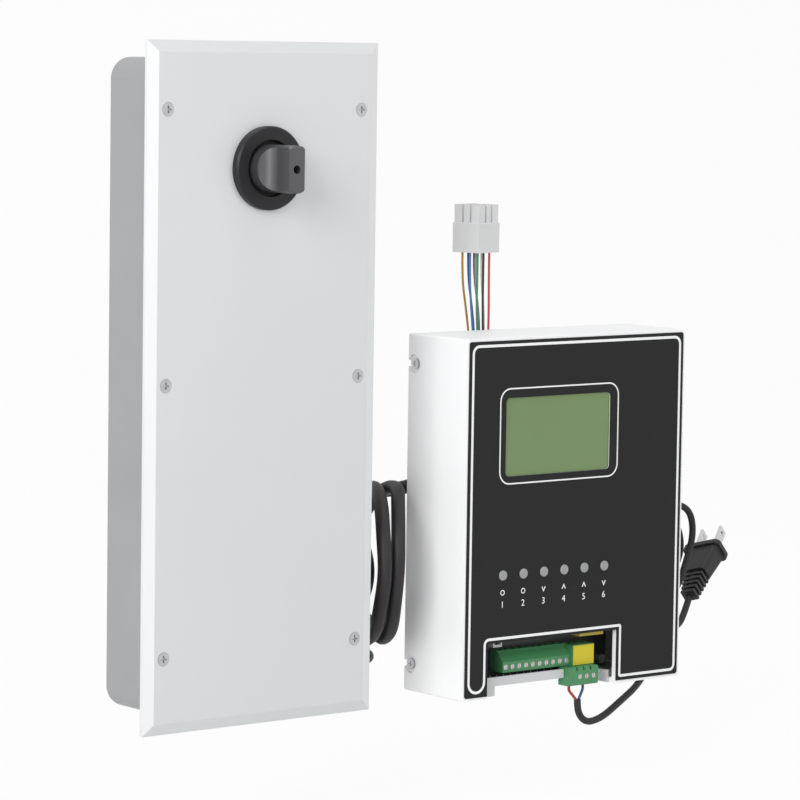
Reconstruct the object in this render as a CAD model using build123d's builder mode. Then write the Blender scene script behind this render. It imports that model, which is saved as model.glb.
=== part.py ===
from build123d import *
from math import acos, cos, pi, radians, sin, tan
import os

os.makedirs("parts", exist_ok=True)

# Swing door operator: a flat drive unit whose spindle turns the door, a wall controller
# with display, six buttons and terminals, and the two cables that belong to them.
# Millimetres. +X right along the cover plate, +Y into the pan, +Z up along the plate.
# The origin is where the spindle's axis meets the flat back of the pan.

# clearances
fit_gap = 0.02
running_gap = 0.05
seat_gap = 0.2
rest_gap = 0.3

# cover plate and its screws
plate_width = 150.0
plate_height = 360.0
plate_thickness = 4.0
plate_bevel_width = 6.0
plate_bevel_depth = 2.0
plate_above_spindle = 66.0
screw_side_inset = 12.0
screw_top_inset = 35.5
screw_bottom_inset = 40.0
gasket_thickness = 1.0

# screws: core of the thread, clearance hole, head
m4_core = 3.3
m4_clear = 4.5
m4_head = 7.4
m4_pan_head = 7.6
m3_core = 2.5
m3_head = 5.5

# pan
pan_depth = 44.0
pan_wall = 4.0
pan_side_inset = 7.5
pan_end_inset = 9.0
pan_corner = 11.5
pan_back_round = 5.0
screw_boss_radius = 4.2
screw_hole_depth = 14.0
anchor_hole = 6.5
anchor_spacing_x = 104.0
anchor_spacing_z = 250.0
anchor_top_offset = 20.0

# spindle and its bearings
spindle_diameter = 25.0
journal_diameter = 20.0
spindle_collar_diameter = 30.0
spindle_collar_width = 1.5
spindle_proud_of_ring = 4.5
tang_length = 17.5
tang_thickness = 10.0
tang_run_out_radius = 8.0
tang_chamfer = 0.9
spindle_thread_hole = 4.5
spindle_thread_depth = 14.0
lower_bearing_outer = 32.0
upper_bearing_outer = 37.0
bearing_width = 7.0
bearing_race_width = 2.6
bearing_boss_wall = 4.0
ring_diameter = 44.0
ring_thickness = 4.5
ring_bore = 30.0
ring_skirt_diameter = 38.0
seal_outer = 34.0
seal_width = 4.0

# gear train
main_teeth = 60
main_module = 1.5
main_face = 10.0
idler_small_teeth = 16
idler_large_teeth = 56
wheel_module = 1.25
wheel_face = 7.0
pinion_teeth = 14
tooth_backlash = 0.18
idler_pin_diameter = 8.0
motor_shaft_diameter = 6.0
key_width = 8.0
key_height = 7.0

# bridge over the gears
bridge_thickness = 5.0
bridge_half_width = 52.0
bridge_top = 47.0
bridge_bottom = 66.0
bridge_post_diameter = 10.0
bridge_corner = 8.0

# motor
motor_flange_diameter = 58.0
motor_flange_thickness = 3.0
motor_can_diameter = 44.0
motor_can_length = 18.0
motor_screw_radius = 25.5
motor_post_diameter = 6.5

# angle sensor
magnet_diameter = 6.0
magnet_height = 2.5
magnet_radius = 39.0
sensor_board_length = 24.0
sensor_board_width = 14.0
board_thickness = 1.6

# cable and gland of the drive unit
motor_cable_diameter = 8.0
gland_from_back = 16.0
gland_above_plate_end = 28.0
gland_thread = 12.0
gland_hex = 15.0
gland_hex_width = 5.0
gland_dome_length = 6.5

# controller body
controller_gap = 56.0
controller_lead = 10.0
controller_width = 162.0
controller_height = 200.0
controller_depth = 51.0
cover_wall = 3.0
cover_edge_round = 1.2
panel_thickness = 0.6
panel_margin = 1.6
tray_wall = 2.0

# display window, measured from the controller's lower left corner
window_left = 28.3
window_bottom = 123.1
window_width = 77.1
window_height = 43.5
window_round = 2.5
window_recess = 0.9
window_glass = 1.9
module_rim = 4.0
module_depth = 5.0

# buttons
button_count = 6
button_first = 27.7
button_pitch = 15.0
button_row = 68.3
button_diameter = 5.6
button_guide_gap = 0.1
button_proud = 0.8
button_flange = 8.0
button_flange_thickness = 1.0
button_stem = 3.2
button_travel = 0.5
switch_size = 6.0
switch_height = 3.6
display_board_depth = 11.0

# terminal bay, measured from the controller's lower left corner
bay_left = 17.7
bay_right = 113.5
bay_height = 30.9
channel_left = 28.5
channel_height = 5.5
lip_height = 10.5
lip_set_back = 2.5
lip_thickness = 1.5

# main board and its terminals
board_from_front = 20.0
main_board_width = 116.0
main_board_height = 112.0
main_board_left = 7.0
main_board_bottom = 7.4
board_post_diameter = 7.0
board_post_inset = 4.0
terminal_ways = 10
terminal_pitch = 5.0
terminal_left = 36.5
terminal_height = 11.8
terminal_face = 5.8
terminal_depth = 11.0
terminal_screw = 3.2
header_width = 16.0
header_height = 11.8
header_depth = 13.0
label_thickness = 0.4
plug_pitch = 5.08
plug_width = 22.0
plug_height = 10.5
plug_depth = 9.0
plug_left = 79.6
plug_bottom = 1.0
plug_from_front = 2.0

# side screws of the controller
side_dimple = 10.6
side_dimple_depth = 1.6
side_head_height = 1.3
side_hole = 3.4
side_head = 6.0
side_screw_from_back = 5.0
side_screw_low = 15.3
side_screw_high = 183.4

# wall holes of the controller
wall_hole = 5.0
wall_spacing_x = 120.0
wall_spacing_z = 150.0

# nine way connector on the motor cable's wires
connector_side = 18.8
connector_body = 17.0
connector_crown = 10.0
connector_pitch = 5.4
connector_turn = 13.0
signal_wire_diameter = 1.3
signal_wire_pitch = 1.9

# mains lead
lead_diameter = 4.0
conductor_diameter = 1.6

# mains plug
blade_spacing = 12.7
blade_width = 6.3
blade_thickness = 1.5
blade_length = 17.0
plug_body_length = 23.0
relief_length = 19.0

# levels that follow from the sizes above
plate_top = plate_above_spindle
plate_bottom = plate_top - plate_height
plate_mid = (plate_top + plate_bottom) / 2
pan_top = plate_top - pan_end_inset
pan_bottom = plate_bottom + pan_end_inset
pan_mid = (pan_top + pan_bottom) / 2
pan_height = pan_top - pan_bottom
pan_width = plate_width - 2 * pan_side_inset
plate_back = -(pan_depth + gasket_thickness)
plate_front = plate_back - plate_thickness
pan_floor = -pan_wall

screw_x = plate_width / 2 - screw_side_inset
screw_high = plate_top - screw_top_inset
screw_low = plate_bottom + screw_bottom_inset
screw_spots = [
    (side * screw_x, z)
    for z in (screw_high, (screw_high + screw_low) / 2, screw_low)
    for side in (-1, 1)
]
anchor_mid = anchor_top_offset - anchor_spacing_z / 2

lower_bearing_back = pan_floor - 2.0
lower_bearing_front = lower_bearing_back - bearing_width
collar_back = lower_bearing_front - rest_gap
gear_back = collar_back - spindle_collar_width
gear_front = gear_back - main_face
bridge_back = gear_front - 3.2
bridge_front = bridge_back - bridge_thickness
upper_bearing_back = bridge_back - 2.0
upper_bearing_front = upper_bearing_back - bearing_width

idler_distance = main_module * (main_teeth + idler_small_teeth) / 2
motor_distance = wheel_module * (idler_large_teeth + pinion_teeth) / 2
idler_z = -idler_distance
motor_z = idler_z - motor_distance
wheel_back = pan_floor - 2.0
wheel_front = wheel_back - wheel_face
idler_front = gear_front - 1.2
motor_seat = wheel_front - 3.0

ring_face = plate_front - ring_thickness
spindle_shoulder = ring_face - spindle_proud_of_ring
spindle_end = spindle_shoulder - tang_length

post_spots = [
    (-(bridge_half_width - bridge_corner), bridge_top - bridge_corner),
    (bridge_half_width - bridge_corner, bridge_top - bridge_corner),
    (-(bridge_half_width - bridge_corner), -43.0),
    (bridge_half_width - bridge_corner, -43.0),
]
motor_screw_spots = [
    (-motor_screw_radius, motor_z),
    (motor_screw_radius, motor_z),
    (0, motor_z - motor_screw_radius),
]

gland_y = -gland_from_back
gland_z = plate_bottom + gland_above_plate_end
pan_right = pan_width / 2

box_left = plate_width / 2 + controller_gap
box_right = box_left + controller_width
box_bottom = plate_bottom
box_top = box_bottom + controller_height
box_front = plate_front - controller_lead
box_back = box_front + controller_depth
sheet_front = box_front + panel_thickness
sheet_back = sheet_front + cover_wall
box_mid_x = (box_left + box_right) / 2
box_mid_z = (box_bottom + box_top) / 2
tray_front = box_back - tray_wall
window_x = box_left + window_left + window_width / 2
window_z = box_bottom + window_bottom + window_height / 2
button_z = box_bottom + button_row
button_spots = [(box_left + button_first + i * button_pitch, button_z) for i in range(button_count)]
board_front = box_front + board_from_front
board_back = board_front + board_thickness
bay_mid = box_left + (bay_left + bay_right) / 2
plug_x0 = box_left + plug_left
plug_z0 = box_bottom + plug_bottom
plug_front = box_front + plug_from_front
plug_back = plug_front + plug_depth
plug_top = plug_z0 + plug_height


def facing(depth):
    """Upright plane at the given depth: x to the right, y up, extruding to the front."""
    return Plane(origin=(0, depth, 0), x_dir=(1, 0, 0), z_dir=(0, -1, 0))


def level(height):
    """Horizontal plane at the given height, extruding upwards."""
    return Plane(origin=(0, 0, height), x_dir=(1, 0, 0), z_dir=(0, 0, 1))


def at_depth(depth, spots):
    """The points of an upright pattern, set at one depth."""
    return [(x, depth, z) for x, z in spots]


def gear_outline(teeth, module, first_tooth, backlash=tooth_backlash):
    """Corners of a spur gear with involute flanks at 20 degrees, its first tooth at an angle."""
    pitch_radius = teeth * module / 2
    base_radius = pitch_radius * cos(radians(20))
    tip_radius = pitch_radius + 0.92 * module
    root_radius = pitch_radius - 1.2 * module

    def roll(radius):
        lean = acos(min(1.0, base_radius / radius))
        return tan(lean) - lean

    half_tooth = pi / (2 * teeth) - backlash / (2 * pitch_radius)
    flank_start = max(base_radius, root_radius)
    steps = [flank_start + (tip_radius - flank_start) * k / 3 for k in range(4)]
    flank = [(radius, half_tooth + roll(pitch_radius) - roll(radius)) for radius in steps]
    if root_radius < base_radius:
        flank.insert(0, (root_radius, flank[0][1]))
    corners = []
    for tooth in range(teeth):
        middle = radians(first_tooth) + 2 * pi * tooth / teeth
        for radius, angle in flank:
            corners.append((radius * cos(middle - angle), radius * sin(middle - angle)))
        for radius, angle in reversed(flank):
            corners.append((radius * cos(middle + angle), radius * sin(middle + angle)))
    return corners


def bend_radii(points):
    """One bend radius for each corner of a cord's route: as large as its two runs allow."""
    radii = []
    for before, corner, after in zip(points, points[1:], points[2:]):
        run_in = Vector(*corner) - Vector(*before)
        run_out = Vector(*after) - Vector(*corner)
        turn = radians(run_in.get_angle(run_out))
        radii.append(0.45 * min(run_in.length, run_out.length) / tan(turn / 2))
    return radii


def report_cord(name, points, diameter, part):
    """Print a cord's bend radii and compare its volume with section times length."""
    radii = bend_radii(points)
    length = FilletPolyline(*points, radius=radii).length
    section = pi * diameter**2 / 4
    share = part.volume / (section * length)
    print(name, "length %.0f" % length, "volume share %.3f" % share)
    print("   radii", [round(r, 1) for r in radii])


# Drive unit

# Cast pan: open towards the cover plate, with bosses for screws, bearing, gears and motor
with BuildPart() as pan:
    with BuildSketch(facing(0)):
        with Locations((0, pan_mid)):
            RectangleRounded(pan_width, pan_height, pan_corner)
    extrude(amount=pan_depth)
    fillet(pan.faces().sort_by(Axis.Y)[-1].edges(), pan_back_round)
    with BuildSketch(facing(pan_floor)):
        with Locations((0, pan_mid)):
            RectangleRounded(pan_width - 2 * pan_wall, pan_height - 2 * pan_wall, pan_corner - pan_wall)
    extrude(amount=pan_depth - pan_wall, mode=Mode.SUBTRACT)
    with BuildSketch(facing(pan_floor)):
        with Locations(*screw_spots):
            Circle(screw_boss_radius)
    extrude(amount=pan_depth - pan_wall)
    with BuildSketch(facing(pan_floor)):
        Circle(lower_bearing_outer / 2 + bearing_boss_wall)
    extrude(amount=-(lower_bearing_front - pan_floor))
    with BuildSketch(facing(pan_floor)):
        with Locations((0, idler_z)):
            Circle(idler_pin_diameter / 2 + 3)
    extrude(amount=pan_floor - wheel_back - rest_gap)
    with BuildSketch(facing(pan_floor)):
        with Locations(*post_spots):
            Circle(bridge_post_diameter / 2)
    extrude(amount=pan_floor - bridge_back)
    with BuildSketch(facing(pan_floor)):
        with Locations(*motor_screw_spots):
            Circle(motor_post_diameter / 2)
    extrude(amount=pan_floor - motor_seat)
    with BuildSketch(facing(pan_floor)):
        with Locations((magnet_radius - 8, 0), (magnet_radius + 8, 0)):
            Circle(3)
    extrude(amount=5.5)
    with BuildSketch(facing(lower_bearing_front)):
        Circle(lower_bearing_outer / 2 + fit_gap)
    extrude(amount=-bearing_width, mode=Mode.SUBTRACT)
    with BuildSketch(facing(lower_bearing_back)):
        Circle(journal_diameter / 2 + 3)
    extrude(amount=-2.5, mode=Mode.SUBTRACT)
    with BuildSketch(facing(pan_floor - 2)):
        with Locations((0, idler_z)):
            Circle(idler_pin_diameter / 2 + fit_gap)
    extrude(amount=-4, both=False, mode=Mode.SUBTRACT)
    with BuildSketch(facing(-pan_depth)):
        with Locations(*screw_spots):
            Circle(m4_core / 2 + fit_gap)
    extrude(amount=-screw_hole_depth, mode=Mode.SUBTRACT)
    with BuildSketch(facing(bridge_back)):
        with Locations(*post_spots):
            Circle(m4_core / 2 + fit_gap)
    extrude(amount=-10, mode=Mode.SUBTRACT)
    with BuildSketch(facing(motor_seat)):
        with Locations(*motor_screw_spots):
            Circle(m3_core / 2 + fit_gap)
    extrude(amount=-8, mode=Mode.SUBTRACT)
    with BuildSketch(facing(0)):
        with Locations((0, anchor_mid)):
            with GridLocations(anchor_spacing_x, anchor_spacing_z, 2, 2):
                Circle(anchor_hole / 2)
    extrude(amount=pan_wall + 1, mode=Mode.SUBTRACT)
    with BuildSketch(Plane(origin=(pan_right + 1, gland_y, gland_z), z_dir=(1, 0, 0))):
        Circle(gland_thread / 2 + seat_gap)
    extrude(amount=-(pan_wall + 2), mode=Mode.SUBTRACT)

# Flat seal between the pan's rim and the cover plate
with BuildPart() as cover_gasket:
    with BuildSketch(facing(-pan_depth)):
        with Locations((0, pan_mid)):
            RectangleRounded(pan_width, pan_height, pan_corner)
            RectangleRounded(
                pan_width - 2 * pan_wall, pan_height - 2 * pan_wall, pan_corner - pan_wall, mode=Mode.SUBTRACT
            )
        with Locations(*screw_spots):
            Circle(screw_boss_radius)
            Circle(m4_clear / 2, mode=Mode.SUBTRACT)
    extrude(amount=gasket_thickness)

# Cover plate with a wide mitred bevel all round its front
with BuildPart() as cover_plate:
    with BuildSketch(facing(plate_back)):
        with Locations((0, plate_mid)):
            Rectangle(plate_width, plate_height)
    extrude(amount=plate_thickness - plate_bevel_depth)
    with BuildSketch(facing(plate_front + plate_bevel_depth)):
        with Locations((0, plate_mid)):
            Rectangle(plate_width, plate_height)
    with BuildSketch(facing(plate_front)):
        with Locations((0, plate_mid)):
            Rectangle(plate_width - 2 * plate_bevel_width, plate_height - 2 * plate_bevel_width)
    loft()
    with BuildSketch(facing(plate_back)):
        Circle(ring_skirt_diameter / 2 + seat_gap)
    extrude(amount=plate_thickness, mode=Mode.SUBTRACT)
    with BuildSketch(facing(plate_back)):
        with Locations(*screw_spots):
            Circle(m4_clear / 2)
    extrude(amount=plate_thickness, mode=Mode.SUBTRACT)
    with Locations(*at_depth(plate_front + (m4_head - m4_clear) / 4, screw_spots)):
        Cone(
            m4_clear / 2,
            m4_head / 2 + seat_gap / 2,
            (m4_head - m4_clear) / 2,
            rotation=(90, 0, 0),
            mode=Mode.SUBTRACT,
        )

# Six countersunk screws with cross recesses
with BuildPart() as cover_screws:
    sunk = (m4_head - m4_core) / 2
    with Locations(*at_depth(plate_front + sunk / 2, screw_spots)):
        Cone(m4_core / 2, m4_head / 2 - seat_gap / 2, sunk, rotation=(90, 0, 0))
    with BuildSketch(facing(plate_front + sunk)):
        with Locations(*screw_spots):
            Circle(m4_core / 2)
    extrude(amount=-(plate_thickness - sunk + gasket_thickness + screw_hole_depth - 3))
    with Locations(*at_depth(plate_front + 0.6, screw_spots)):
        Box(m4_head / 2, 1.2, 0.9, mode=Mode.SUBTRACT)
        Box(0.9, 1.2, m4_head / 2, mode=Mode.SUBTRACT)

# Dark ring round the spindle: flange in front of the plate, skirt through it
with BuildPart() as spindle_ring:
    with BuildSketch(facing(plate_front)):
        Circle(ring_diameter / 2)
    extrude(amount=ring_thickness)
    chamfer(spindle_ring.edges().group_by(Axis.Y)[0], 0.8)
    with BuildSketch(facing(plate_back)):
        Circle(ring_skirt_diameter / 2)
    extrude(amount=plate_thickness)
    with BuildSketch(facing(plate_back)):
        Circle(seal_outer / 2 + fit_gap)
    extrude(amount=seal_width, mode=Mode.SUBTRACT)
    with BuildSketch(facing(plate_back)):
        Circle(ring_bore / 2)
    extrude(amount=plate_thickness + ring_thickness, mode=Mode.SUBTRACT)

# Lip seal inside the ring
with BuildPart() as shaft_seal:
    with BuildSketch(facing(plate_back)):
        Circle(seal_outer / 2)
        Circle(spindle_diameter / 2 + running_gap, mode=Mode.SUBTRACT)
    extrude(amount=seal_width)
    with BuildSketch(facing(plate_back)):
        Circle(seal_outer / 2 - 1.4)
        Circle(spindle_diameter / 2 + 1.2, mode=Mode.SUBTRACT)
    extrude(amount=seal_width / 2, mode=Mode.SUBTRACT)


def bearing(back, bore, outer):
    """Ring bearing as sold: two races with a shallow groove between them on both sides."""
    with BuildPart() as made:
        with BuildSketch(facing(back)):
            Circle(outer / 2)
            Circle(bore / 2 + running_gap, mode=Mode.SUBTRACT)
        extrude(amount=bearing_width)
        for side, way in ((back, 1), (back - bearing_width, -1)):
            with BuildSketch(facing(side)):
                Circle(outer / 2 - bearing_race_width / 2)
                Circle(bore / 2 + bearing_race_width / 2, mode=Mode.SUBTRACT)
            extrude(amount=way * 0.6, mode=Mode.SUBTRACT)
    return made


lower_bearing = bearing(lower_bearing_back, journal_diameter, lower_bearing_outer)
upper_bearing = bearing(upper_bearing_back, spindle_diameter, upper_bearing_outer)

# Spindle: journal, collar, round shaft and a two-sided tang with concave run-outs
with BuildPart() as spindle:
    with BuildSketch(facing(lower_bearing_back)):
        Circle(journal_diameter / 2)
    extrude(amount=bearing_width + rest_gap)
    with BuildSketch(facing(collar_back)):
        Circle(spindle_collar_diameter / 2)
    extrude(amount=spindle_collar_width)
    with BuildSketch(facing(gear_back)):
        Circle(spindle_diameter / 2)
    extrude(amount=gear_back - spindle_end)
    chamfer(spindle.faces().sort_by(Axis.Y)[0].edges(), tang_chamfer)
    run_start = spindle_shoulder - tang_run_out_radius
    for side in (-1, 1):
        with BuildSketch(level(-spindle_diameter)):
            with BuildLine():
                flat = side * tang_thickness / 2
                out = side * (tang_thickness / 2 + tang_run_out_radius)
                Polyline((flat, run_start), (flat, spindle_end - 1), (out, spindle_end - 1))
                Line((out, spindle_end - 1), (out, spindle_shoulder))
                RadiusArc((flat, run_start), (out, spindle_shoulder), side * tang_run_out_radius)
            make_face()
        extrude(amount=2 * spindle_diameter, mode=Mode.SUBTRACT)
    with BuildSketch(facing(spindle_end)):
        Circle(spindle_thread_hole / 2)
    extrude(amount=-spindle_thread_depth, mode=Mode.SUBTRACT)
    with Locations((0, gear_back - main_face / 2, spindle_diameter / 2 - key_height / 4)):
        Box(key_width, main_face, key_height / 2 + 0.5, mode=Mode.SUBTRACT)

# Key between the spindle and the main gear
with BuildPart() as spindle_key:
    with Locations((0, gear_back - main_face / 2, spindle_diameter / 2)):
        Box(key_width - 2 * fit_gap, main_face, key_height - 2 * fit_gap)

# Main gear, keyed on the spindle
with BuildPart() as main_gear:
    with BuildSketch(facing(gear_back)):
        Polygon(*gear_outline(main_teeth, main_module, -90), align=None)
        Circle(spindle_diameter / 2 + fit_gap, mode=Mode.SUBTRACT)
        with Locations((0, spindle_diameter / 2)):
            Rectangle(key_width, key_height + 2 * fit_gap, mode=Mode.SUBTRACT)
        with PolarLocations(29, 6, 30):
            Circle(6.5, mode=Mode.SUBTRACT)
    extrude(amount=main_face)
    with BuildSketch(facing(gear_front)):
        Circle(37)
        Circle(19.5, mode=Mode.SUBTRACT)
    extrude(amount=-2.5, mode=Mode.SUBTRACT)
    with BuildSketch(facing(gear_back)):
        with Locations((magnet_radius, 0)):
            Circle(magnet_diameter / 2 + fit_gap)
    extrude(amount=magnet_height, mode=Mode.SUBTRACT)

# Magnet let into the back of the main gear, read by the sensor
with BuildPart() as angle_magnet:
    with BuildSketch(facing(gear_back)):
        with Locations((magnet_radius, 0)):
            Circle(magnet_diameter / 2)
    extrude(amount=magnet_height)

# Sensor board on two bosses behind the main gear
sensor_back = pan_floor - 5.5
with BuildPart() as sensor_board:
    with Locations((magnet_radius, sensor_back - board_thickness / 2, 0)):
        Box(sensor_board_length, board_thickness, sensor_board_width)
    with Locations((magnet_radius, sensor_back - board_thickness - 0.5, 0)):
        Box(5, 1, 4)
    with Locations((magnet_radius, sensor_back - board_thickness - 0.4, sensor_board_width / 2 - 2)):
        Box(8, 0.8, 2)

# Two-step gear between the motor and the main gear
with BuildPart() as idler_gear:
    with BuildSketch(facing(wheel_back)):
        with Locations((0, idler_z)):
            Polygon(*gear_outline(idler_large_teeth, wheel_module, -90), align=None)
    extrude(amount=wheel_face)
    with BuildSketch(facing(wheel_front)):
        with Locations((0, idler_z)):
            Circle(30)
            Circle(16, mode=Mode.SUBTRACT)
    extrude(amount=-2, mode=Mode.SUBTRACT)
    with BuildSketch(facing(wheel_front)):
        with Locations((0, idler_z)):
            Polygon(*gear_outline(idler_small_teeth, main_module, 90 + 180 / idler_small_teeth), align=None)
    extrude(amount=wheel_front - idler_front)
    with BuildSketch(facing(wheel_back)):
        with Locations((0, idler_z)):
            Circle(idler_pin_diameter / 2 + running_gap)
    extrude(amount=wheel_back - idler_front, mode=Mode.SUBTRACT)

# Fixed pin that the idler turns on
with BuildPart() as idler_pin:
    with BuildSketch(facing(pan_floor + 2)):
        with Locations((0, idler_z)):
            Circle(idler_pin_diameter / 2)
    extrude(amount=pan_floor + 2 - bridge_front)

# Bridge plate: carries the upper bearing and the free end of the idler's pin
with BuildPart() as gear_bridge:
    with BuildSketch(facing(bridge_back)):
        with Locations((0, (bridge_top - bridge_bottom) / 2)):
            RectangleRounded(2 * bridge_half_width, bridge_top + bridge_bottom, bridge_corner)
        with Locations((-35, 0), (35, 0), (0, 34)):
            Circle(9, mode=Mode.SUBTRACT)
        with Locations((-24, -52), (24, -52)):
            Circle(6, mode=Mode.SUBTRACT)
    extrude(amount=bridge_thickness)
    with BuildSketch(facing(bridge_front)):
        Circle(upper_bearing_outer / 2 + bearing_boss_wall)
    extrude(amount=bridge_front - upper_bearing_front)
    with BuildSketch(facing(bridge_back)):
        with Locations((0, idler_z)):
            Circle(idler_pin_diameter / 2 + 3)
    extrude(amount=-(idler_front - bridge_back - rest_gap))
    with BuildSketch(facing(upper_bearing_front)):
        Circle(upper_bearing_outer / 2 + fit_gap)
    extrude(amount=-bearing_width, mode=Mode.SUBTRACT)
    with BuildSketch(facing(bridge_back)):
        Circle(spindle_diameter / 2 + 3)
    extrude(amount=bridge_thickness, mode=Mode.SUBTRACT)
    with BuildSketch(facing(bridge_back + 4)):
        with Locations((0, idler_z)):
            Circle(idler_pin_diameter / 2 + fit_gap)
    extrude(amount=bridge_thickness + 4, mode=Mode.SUBTRACT)
    with BuildSketch(facing(bridge_back)):
        with Locations(*post_spots):
            Circle(m4_clear / 2)
    extrude(amount=bridge_thickness, mode=Mode.SUBTRACT)

# Four screws that hold the bridge on its posts
with BuildPart() as bridge_screws:
    with BuildSketch(facing(bridge_front)):
        with Locations(*post_spots):
            Circle(m4_pan_head / 2)
    extrude(amount=2.6)
    with BuildSketch(facing(bridge_front)):
        with Locations(*post_spots):
            Circle(m4_core / 2)
    extrude(amount=-(bridge_thickness + 8))

# Flat gearmotor on three posts, its shaft towards the pan's floor
with BuildPart() as motor:
    with BuildSketch(facing(motor_seat)):
        with Locations((0, motor_z)):
            Circle(motor_flange_diameter / 2)
    extrude(amount=motor_flange_thickness)
    with BuildSketch(facing(motor_seat - motor_flange_thickness)):
        with Locations((0, motor_z)):
            Circle(motor_can_diameter / 2)
    extrude(amount=motor_can_length)
    fillet(motor.faces().sort_by(Axis.Y)[0].edges(), 2)
    with BuildSketch(facing(motor_seat)):
        with Locations((0, motor_z)):
            Circle(7)
    extrude(amount=-1.6)
    with BuildSketch(facing(motor_seat - motor_flange_thickness - motor_can_length)):
        with Locations((0, motor_z)):
            Circle(8)
    extrude(amount=1.2)
    with BuildSketch(facing(motor_seat)):
        with Locations(*motor_screw_spots):
            Circle(m3_core / 2 + 0.5)
    extrude(amount=motor_flange_thickness, mode=Mode.SUBTRACT)
    with BuildSketch(facing(motor_seat + 2)):
        with Locations((0, motor_z)):
            Circle(motor_shaft_diameter / 2 + running_gap)
    extrude(amount=14, mode=Mode.SUBTRACT)
    with Locations((motor_can_diameter / 2, motor_seat - motor_flange_thickness - 10, motor_z)):
        Box(7, 8, 12)

# Three screws of the motor's flange
with BuildPart() as motor_screws:
    with BuildSketch(facing(motor_seat - motor_flange_thickness)):
        with Locations(*motor_screw_spots):
            Circle(m3_head / 2)
    extrude(amount=2.2)
    with BuildSketch(facing(motor_seat - motor_flange_thickness)):
        with Locations(*motor_screw_spots):
            Circle(m3_core / 2)
    extrude(amount=-(motor_flange_thickness + 6))

# Pinion on the motor's shaft
with BuildPart() as drive_pinion:
    with BuildSketch(facing(wheel_back)):
        with Locations((0, motor_z)):
            Polygon(*gear_outline(pinion_teeth, wheel_module, 90 + 180 / pinion_teeth), align=None)
    extrude(amount=wheel_face + 0.6)
    with BuildSketch(facing(wheel_back)):
        with Locations((0, motor_z)):
            Circle(motor_shaft_diameter / 2)
    extrude(amount=wheel_back - motor_seat + 11)

# Cable gland through the pan's right wall: lock nut inside, hexagon and dome outside
gland_face = pan_right + gland_hex_width + gland_dome_length


def across(x):
    """Plane across the gland's axis at the given x, extruding to the right."""
    return Plane(origin=(x, gland_y, gland_z), x_dir=(0, 1, 0), z_dir=(1, 0, 0))


with BuildPart() as cable_gland:
    with BuildSketch(across(pan_right)):
        RegularPolygon(gland_hex / 2 / cos(pi / 6), 6)
    extrude(amount=gland_hex_width)
    with BuildSketch(across(pan_right + gland_hex_width)):
        Circle(gland_hex / 2 - 0.6)
    extrude(amount=gland_dome_length)
    fillet(cable_gland.faces().sort_by(Axis.X)[-1].edges(), 2.6)
    with BuildSketch(across(pan_right)):
        Circle(gland_thread / 2)
    extrude(amount=-(pan_wall + 5))
    with BuildSketch(across(pan_right - pan_wall)):
        RegularPolygon(gland_hex / 2 / cos(pi / 6), 6)
    extrude(amount=-3)

# Motor cable

coil_x = 99.0
coil_y = -1.0
coil_z = -216.8
coil_outer = 46.5
coil_inner = 38.5
coil_width = 26.0
sheath_end = (190.0, 4.0, -135.0)

motor_cable_points = [
    (gland_face, gland_y, gland_z),
    (gland_face + 12, gland_y, gland_z),
    (102.5, -8.5, -268.8),
    (107.5, 5.5, -268.3),
    (107.0, 19.5, -263.0),
    (103.5, 31.0, -252.0),
    (100.5, 38.8, -239.5),
]
motor_cable_run_points = [
    (104.0, 41.5, -216.0),
    (104.3, 42.5, -203.0),
    (108.5, 43.3, -190.5),
    (118.0, 42.5, -181.5),
    (131.0, 40.0, -177.0),
    (147.0, 35.5, -177.5),
    (163.0, 28.0, -175.5),
    (177.5, 17.0, -166.5),
    (187.0, 8.0, -151.5),
    sheath_end,
]

# Cable from the gland to its coil
with BuildPart() as motor_cable:
    with BuildLine():
        cable_path = FilletPolyline(*motor_cable_points, radius=bend_radii(motor_cable_points))
    with BuildSketch(Plane(origin=cable_path @ 0, z_dir=cable_path % 0)):
        Circle(motor_cable_diameter / 2)
    sweep()

# Three turns of the motor cable, as one ring
with BuildPart() as motor_cable_coil:
    with BuildSketch(Plane(origin=(coil_x - coil_width / 2, coil_y, coil_z), z_dir=(1, 0, 0))):
        Circle(coil_outer)
        Circle(coil_inner, mode=Mode.SUBTRACT)
    extrude(amount=coil_width)
    fillet(motor_cable_coil.edges().filter_by(GeomType.CIRCLE), 3.6)

# Cable from the coil to the end of its sheath behind the controller
with BuildPart() as motor_cable_run:
    with BuildLine():
        run_path = FilletPolyline(*motor_cable_run_points, radius=bend_radii(motor_cable_run_points))
    with BuildSketch(Plane(origin=run_path @ 0, z_dir=run_path % 0)):
        Circle(motor_cable_diameter / 2)
    sweep()

connector_place = (185.0, 0.0, -50.5)
turn_x = (cos(radians(connector_turn)), sin(radians(connector_turn)), 0)
turn_y = (-sin(radians(connector_turn)), cos(radians(connector_turn)), 0)
sheath_way = (Vector(*sheath_end) - Vector(*motor_cable_run_points[-2])).normalized()


def socket_spot(column, row, height):
    """Point of the connector's grid: column and row from -1 to 1, height above its base."""
    dx = column * connector_pitch
    dy = row * connector_pitch
    x = connector_place[0] + dx * turn_x[0] + dy * turn_y[0]
    y = connector_place[1] + dx * turn_x[1] + dy * turn_y[1]
    return (x, y, connector_place[2] + height)


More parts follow.
